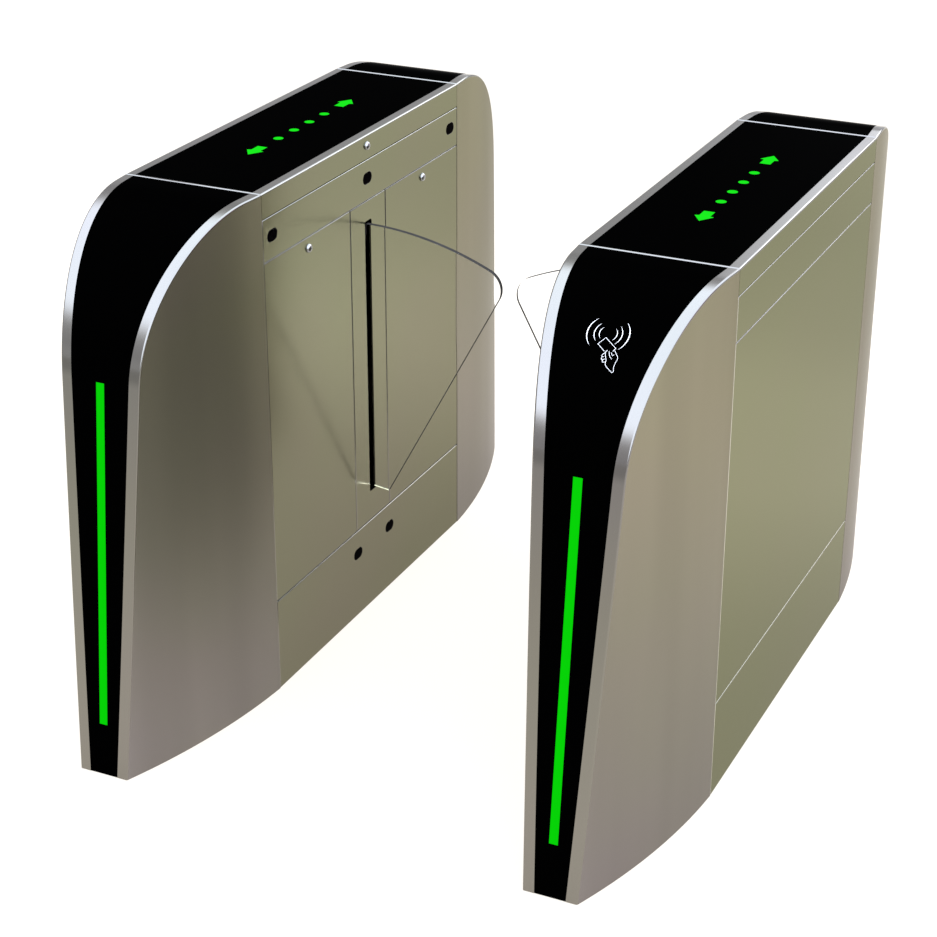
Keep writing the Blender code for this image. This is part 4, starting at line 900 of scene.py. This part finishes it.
GRAIN = (3.0, 6.0, 1400.0)
TRIM_GRAIN = (900.0, 6.0, 6.0)
# Each steel's two colours are its tone at the top and at the foot. The darker, browner foot is painted shade
# and reflection, and the olive tint and low brightness are partly painted reflection of the surroundings.
MATERIALS = {
    "steel_end": steel("steel_end", (0.272, 0.256, 0.182), (0.236, 0.216, 0.203), (0.60, 0.58, 0.54),
                       0.36, GRAIN, stretch=0.80, bands=0.07),
    "steel_panel": steel("steel_panel", (0.253, 0.248, 0.180), (0.197, 0.183, 0.147), (0.58, 0.60, 0.50),
                         0.18, GRAIN, bump=0.005, stretch=0.4),
    "steel_trim": steel("steel_trim", (0.243, 0.240, 0.232), (0.240, 0.228, 0.200), (0.80, 0.80, 0.80),
                        0.13, TRIM_GRAIN, painted_shade_heights=(0.55, 0.85)),
    # Pale steel for the outer panel's upright folds: a painted highlight
    "painted_seam_highlight": steel("painted_seam_highlight", (0.60, 0.59, 0.53), (0.56, 0.54, 0.48), (0.80, 0.80, 0.80),
                        0.20, GRAIN),
    "black_gloss": plain("black_gloss", (0.0002, 0.0002, 0.0002), 0.08, scale=6.0, ior=1.005),
    "green_light": lit("green_light", (0.0024, 0.651, 0.0027), 1.0),
    "sensor_black": plain("sensor_black", (0.0006, 0.0004, 0.0006), 0.12, ior=1.02),
    "clear_sheet": clear("clear_sheet"),
    # Dark finish on the flap's upward and outward edges: painted shade
    "painted_edge_shade": plain("painted_edge_shade", (0.040, 0.038, 0.036), 0.3, spread=0.3, scale=30.0, ior=1.02),
    "green_mark": lit("green_mark", (0.012, 0.860, 0.016), 1.0),
    "chrome": plain("chrome", (0.36, 0.36, 0.37), 0.26, 1.0, spread=0.03),
    "frame_steel": plain("frame_steel", (0.050, 0.054, 0.060), 0.42, spread=0.15, scale=90.0, bump=0.10),
    "machined": plain("machined", (0.56, 0.56, 0.57), 0.27, 1.0, spread=0.08, scale=220.0, bump=0.05),
    "motor_black": plain("motor_black", (0.018, 0.018, 0.020), 0.38, spread=0.2, scale=160.0, bump=0.12),
    "rubber": plain("rubber", (0.016, 0.016, 0.016), 0.82, spread=0.3, scale=300.0, bump=0.2),
    "case_grey": plain("case_grey", (0.42, 0.43, 0.44), 0.48, spread=0.05, scale=260.0, bump=0.08),
    "white_print": plain("white_print", (0.80, 0.80, 0.80), 0.45),
}


# Setting the pieces down

def world_name(side, name):
    """Node or body name in the world, where the half turn makes the right cabinet's front its rear."""
    if side == "right":
        for old, new in (("front_", "rear_"), ("rear_", "front_")):
            if name.startswith(old):
                name = new + name[len(old):]
                break
    return side + "_" + name


def settle(side, piece_name, piece, finishes, body, replaced):
    """One copy of a piece, placed in its cabinet, smoothed, dressed and riding on its body."""
    turn = Matrix.Identity(4) if side == "left" else Matrix.Rotation(math.pi, 4, "Z")
    shift = -CABINET_OFFSET if side == "left" else CABINET_OFFSET
    mesh = piece.data.copy()
    mesh.transform(Matrix.Translation((shift, 0.0, 0.0)) @ turn)
    mesh.name = world_name(side, piece_name) + "_look"
    made = added(mesh.name, mesh)
    for finish in finishes:
        mesh.materials.append(MATERIALS[finish])
    mesh.shade_smooth()
    mesh.set_sharp_from_angle(angle=SHARP_ANGLE)
    weighted = made.modifiers.new("weighted", "WEIGHTED_NORMAL")
    weighted.keep_sharp = True
    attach(made, body if body == "frame" else world_name(side, body))
    if replaced:
        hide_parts(*[world_name(side, node) for node in replaced])


# Each lock's place along and up, its cam's length and the way the cam points
LOCKS = {"front_door_lock": (-0.236375, 0.849, 0.028, -1), "rear_door_lock": (0.236375, 0.849, 0.028, 1),
         "lid_lock": (0.0, 0.979, 0.045, 1)}
STEEL_END, STEEL_PANEL = ("steel_end", "steel_trim"), ("steel_panel", "steel_trim")

# Each piece's name, maker, finishes, body and slot; one without a slot is only in this script
PIECES = [
    ("lid_shell", lid_shell, STEEL_PANEL, "lid", "brushed_steel"),
    ("lid_panel", lid_panel, ("black_gloss",), "lid", "black_gloss"),
    ("lid_lights", lid_lights, ("green_mark", "case_grey"), "lid", "green_light"),
    ("sensor_band", sensor_band, STEEL_PANEL, "frame", "brushed_steel"),
    ("base_band", base_band, STEEL_PANEL, "frame", "brushed_steel"),
    # The slot panel's third finish, the sensors' black, is painted shade on the slot's rim
    ("slot_panel", slot_panel, (*STEEL_PANEL, "sensor_black"), "frame", "brushed_steel"),
    ("outer_panel", outer_panel, (*STEEL_PANEL, "painted_seam_highlight"), "frame", "brushed_steel"),
    ("upper_sensors", lambda: sensor_set(UPPER_SENSORS), ("sensor_black",), "frame", "sensor_black"),
    ("lower_sensors", lambda: sensor_set(LOWER_SENSORS), ("sensor_black",), "frame", "sensor_black"),
    ("flap", flap, ("clear_sheet", "painted_edge_shade"), "flap", "clear_sheet"),
]
for name, end in (("front", -1), ("rear", 1)):
    PIECES += [
        (name + "_shell", lambda end=end: end_shell(end), STEEL_END, "frame", "brushed_steel"),
        (name + "_strip", lambda end=end: end_strip(end), ("black_gloss",), "frame", "black_gloss"),
        (name + "_light", lambda end=end: end_light(end), ("green_light",), "frame", "green_light"),
        (name + "_door", lambda end=end: door(end), STEEL_PANEL, name + "_door", "brushed_steel"),
    ]
for name, place in LOCKS.items():
    PIECES.append((name, lambda place=place: cam_lock(*place), ("chrome",), name, "chrome"))
PIECES.append(("contact_mark", contact_mark, ("white_print",), "frame", None))

for name, make, finishes, body, slot_name in PIECES:
    piece = make()
    for side in ("left", "right"):
        settle(side, name, piece, finishes, body, [name] if slot_name else [])
    bpy.data.objects.remove(piece, do_unlink=True)

# CAD nodes that keep their shape: a finish of their own and the width of their softened edges
KEPT = {"base_frame": ("frame_steel", 0.0008), "flap_arm": ("machined", 0.0005),
        "drive_link": ("machined", 0.0006), "motor_crank": ("machined", 0.0006),
        "gearmotor": ("motor_black", 0.0008), "drive_bracket": ("frame_steel", 0.0008),
        "stop_buffer": ("rubber", 0.0008), "controller": ("case_grey", 0.0008),
        "card_reader": ("motor_black", 0.0006)}
for name, (finish, width) in KEPT.items():
    for side in ("left", "right"):
        node = nodes[world_name(side, name)]
        node.material_slots[0].link = "OBJECT"
        node.material_slots[0].material = MATERIALS[finish]
        edges = node.modifiers.new("edges", "BEVEL")
        edges.width, edges.segments, edges.limit_method = width, 2, "ANGLE"
        edges.angle_limit = KEPT_BEVEL_ANGLE

# The white floor, whose glow changes along the lane: painted light and painted shade, brighter and dimmer by
# place

FLOOR_REACH = 30.0
FLOOR_DROP = 0.0003
# Places along the lane and the floor's glow there: painted light and painted shade
FLOOR_PAINTED_LIGHT = [(0.04, 0.22), (0.41, 0.89), (0.52, 0.89), (0.55, 0.93), (0.58, 1.04), (0.61, 1.13),
              (0.66, 1.06), (0.70, 0.85), (0.77, 0.72), (0.85, 0.82), (1.0, 0.88)]


def set_stops(ramp, stops):
    """Gives a ramp node its stops, each a position and a colour."""
    elements = ramp.color_ramp.elements
    while len(elements) < len(stops):
        elements.new(0.5)
    for element, (position, colour) in zip(elements, stops):
        element.position = position
        element.color = (*colour, 1.0)


floor_mesh = bpy.data.meshes.new("floor")
corners = rectangle(-FLOOR_REACH, FLOOR_REACH, -FLOOR_REACH, FLOOR_REACH)
floor_mesh.from_pydata([(x, y, -FLOOR_DROP) for x, y in corners], [], [(0, 1, 2, 3)])
floor = added("floor", floor_mesh)
floor_graph = Graph("floor_white")
sooner = floor_graph.node("ShaderNodeMath", operation="ADD")
floor_graph.put(sooner.inputs[0], floor_graph.along("Y"))
floor_graph.put(sooner.inputs[1], floor_graph.ranged(floor_graph.along("X"), 0.0, 0.5, 0.3, 0.9))
# Painted light on the floor: the glow's strength by place along the lane
painted_floor_light = floor_graph.node("ShaderNodeValToRGB")
floor_graph.put(painted_floor_light.inputs["Fac"], floor_graph.ranged(sooner.outputs["Value"], 0.0, 1.0, -6.0, 6.0))
set_stops(painted_floor_light, [(position, (level,) * 3) for position, level in FLOOR_PAINTED_LIGHT])
floor_graph.set(Base_Color=(0.130, 0.120, 0.105, 1.0), Roughness=0.9, Specular_IOR_Level=0.0,
                Emission_Color=(1.0, 0.96, 0.90, 1.0), Emission_Strength=painted_floor_light.outputs["Color"])
floor_mesh.materials.append(floor_graph.material)

# Studio dome: a broad overhead light tilted to the lane, a lower one behind it, pale walls and a dark flag

DOME_STRENGTH = 4.5
BLACK, WHITE = (0.0, 0.0, 0.0), (1.0, 1.0, 1.0)
world = bpy.data.worlds.new("studio")
bpy.context.scene.world = world
world.use_nodes = True
world_tree = world.node_tree
direction = world_tree.nodes.new("ShaderNodeTexCoord")


def lobe(axis, stops, full=DOME_STRENGTH):
    """Light by the cosine of the angle from an axis, its colours divided by the full strength."""
    facing = world_tree.nodes.new("ShaderNodeVectorMath")
    facing.operation = "DOT_PRODUCT"
    facing.inputs[1].default_value = Vector(axis).normalized()
    world_tree.links.new(direction.outputs["Generated"], facing.inputs[0])
    ramp = world_tree.nodes.new("ShaderNodeValToRGB")
    world_tree.links.new(facing.outputs["Value"], ramp.inputs["Fac"])
    set_stops(ramp, [(position, [c / full for c in colour]) for position, colour in stops])
    return ramp.outputs["Color"]


overhead = lobe((0.400, -0.196, 0.895), [
    (0.00, (0.85, 0.85, 0.88)), (0.06, (0.72, 0.72, 0.75)), (0.15, (0.80, 0.80, 0.83)),
    (0.22, (0.95, 0.96, 0.99)), (0.28, (1.65, 1.70, 1.80)), (0.33, (2.80, 3.00, 3.35)),
    (0.38, (3.40, 3.70, 4.20)), (1.0, (3.20, 3.50, 4.10))])
behind = lobe((0.290, 0.900, 0.310), [
    (0.80, BLACK), (0.83, (1.3, 1.32, 1.38)), (0.87, (2.9, 3.0, 3.2)), (1.0, (3.1, 3.2, 3.4))])
raised = lobe((0.0, 0.0, 1.0), [(0.18, BLACK), (0.27, WHITE)], 1.0)
flagged = lobe((0.87, 0.44, 0.22), [(0.915, WHITE), (0.965, (0.31, 0.21, 0.22))], 1.0)


def blended(kind, first, second):
    """Two lights of the dome put together by a kind of blending."""
    made = world_tree.nodes.new("ShaderNodeMix")
    made.data_type, made.blend_type = "RGBA", kind
    made.inputs["Factor"].default_value = 1.0
    world_tree.links.new(first, made.inputs["A"])
    world_tree.links.new(second, made.inputs["B"])
    return made.outputs["Result"]


studio = blended("MULTIPLY", blended("LIGHTEN", overhead, blended("MULTIPLY", behind, raised)), flagged)
world_tree.links.new(studio, world_tree.nodes["Background"].inputs["Color"])
world_tree.nodes["Background"].inputs["Strength"].default_value = DOME_STRENGTH


def softbox(name, place, aim, width, height, radiance, colour):
    """Rectangular area light that aims at a point."""
    data = bpy.data.lights.new(name, "AREA")
    data.shape = "RECTANGLE"
    data.size, data.size_y = width, height
    data.energy = radiance * math.pi * width * height
    data.color = colour
    light = added(name, data)
    light.location = place
    light.rotation_mode = "QUATERNION"
    light.rotation_quaternion = (Vector(aim) - Vector(place)).to_track_quat("-Z", "Y")


softbox("edge", (1.35, 4.5, 2.45), (0.0, 0.0, 0.8), 2.4, 1.4, 3.5, (0.97, 0.98, 1.0))

# The photo's camera, fitted to lines measured in the photo

AZIMUTH, ELEVATION, ROLL = math.radians(24.8349), math.radians(25.3374), math.radians(0.1826)
CAMERA_PLACE = (1.6040, -3.61548, 2.21771)
LENS = 85.32
SENSOR_WIDTH = 36.0
SHIFT_X, SHIFT_Y = -0.00792, 0.00794
CLIP_END = 200.0
back = Vector((math.sin(AZIMUTH) * math.cos(ELEVATION), -math.cos(AZIMUTH) * math.cos(ELEVATION),
               math.sin(ELEVATION)))
level = Vector((math.cos(AZIMUTH), math.sin(AZIMUTH), 0.0))
upright = level.cross(-back)
right_axis = level * math.cos(ROLL) + upright * math.sin(ROLL)
up_axis = upright * math.cos(ROLL) - level * math.sin(ROLL)
camera_data = bpy.data.cameras.new("photo_camera")
camera_data.sensor_width = SENSOR_WIDTH
camera_data.lens = LENS
camera_data.shift_x = SHIFT_X
camera_data.shift_y = SHIFT_Y
camera_data.clip_end = CLIP_END
camera = added("photo_camera", camera_data)
axes = Matrix((right_axis, up_axis, back)).transposed().to_4x4()
camera.matrix_world = Matrix.Translation(CAMERA_PLACE) @ axes
bpy.context.scene.camera = camera
bpy.context.scene.view_settings.view_transform = "Standard"

bpy.context.view_layer.update()
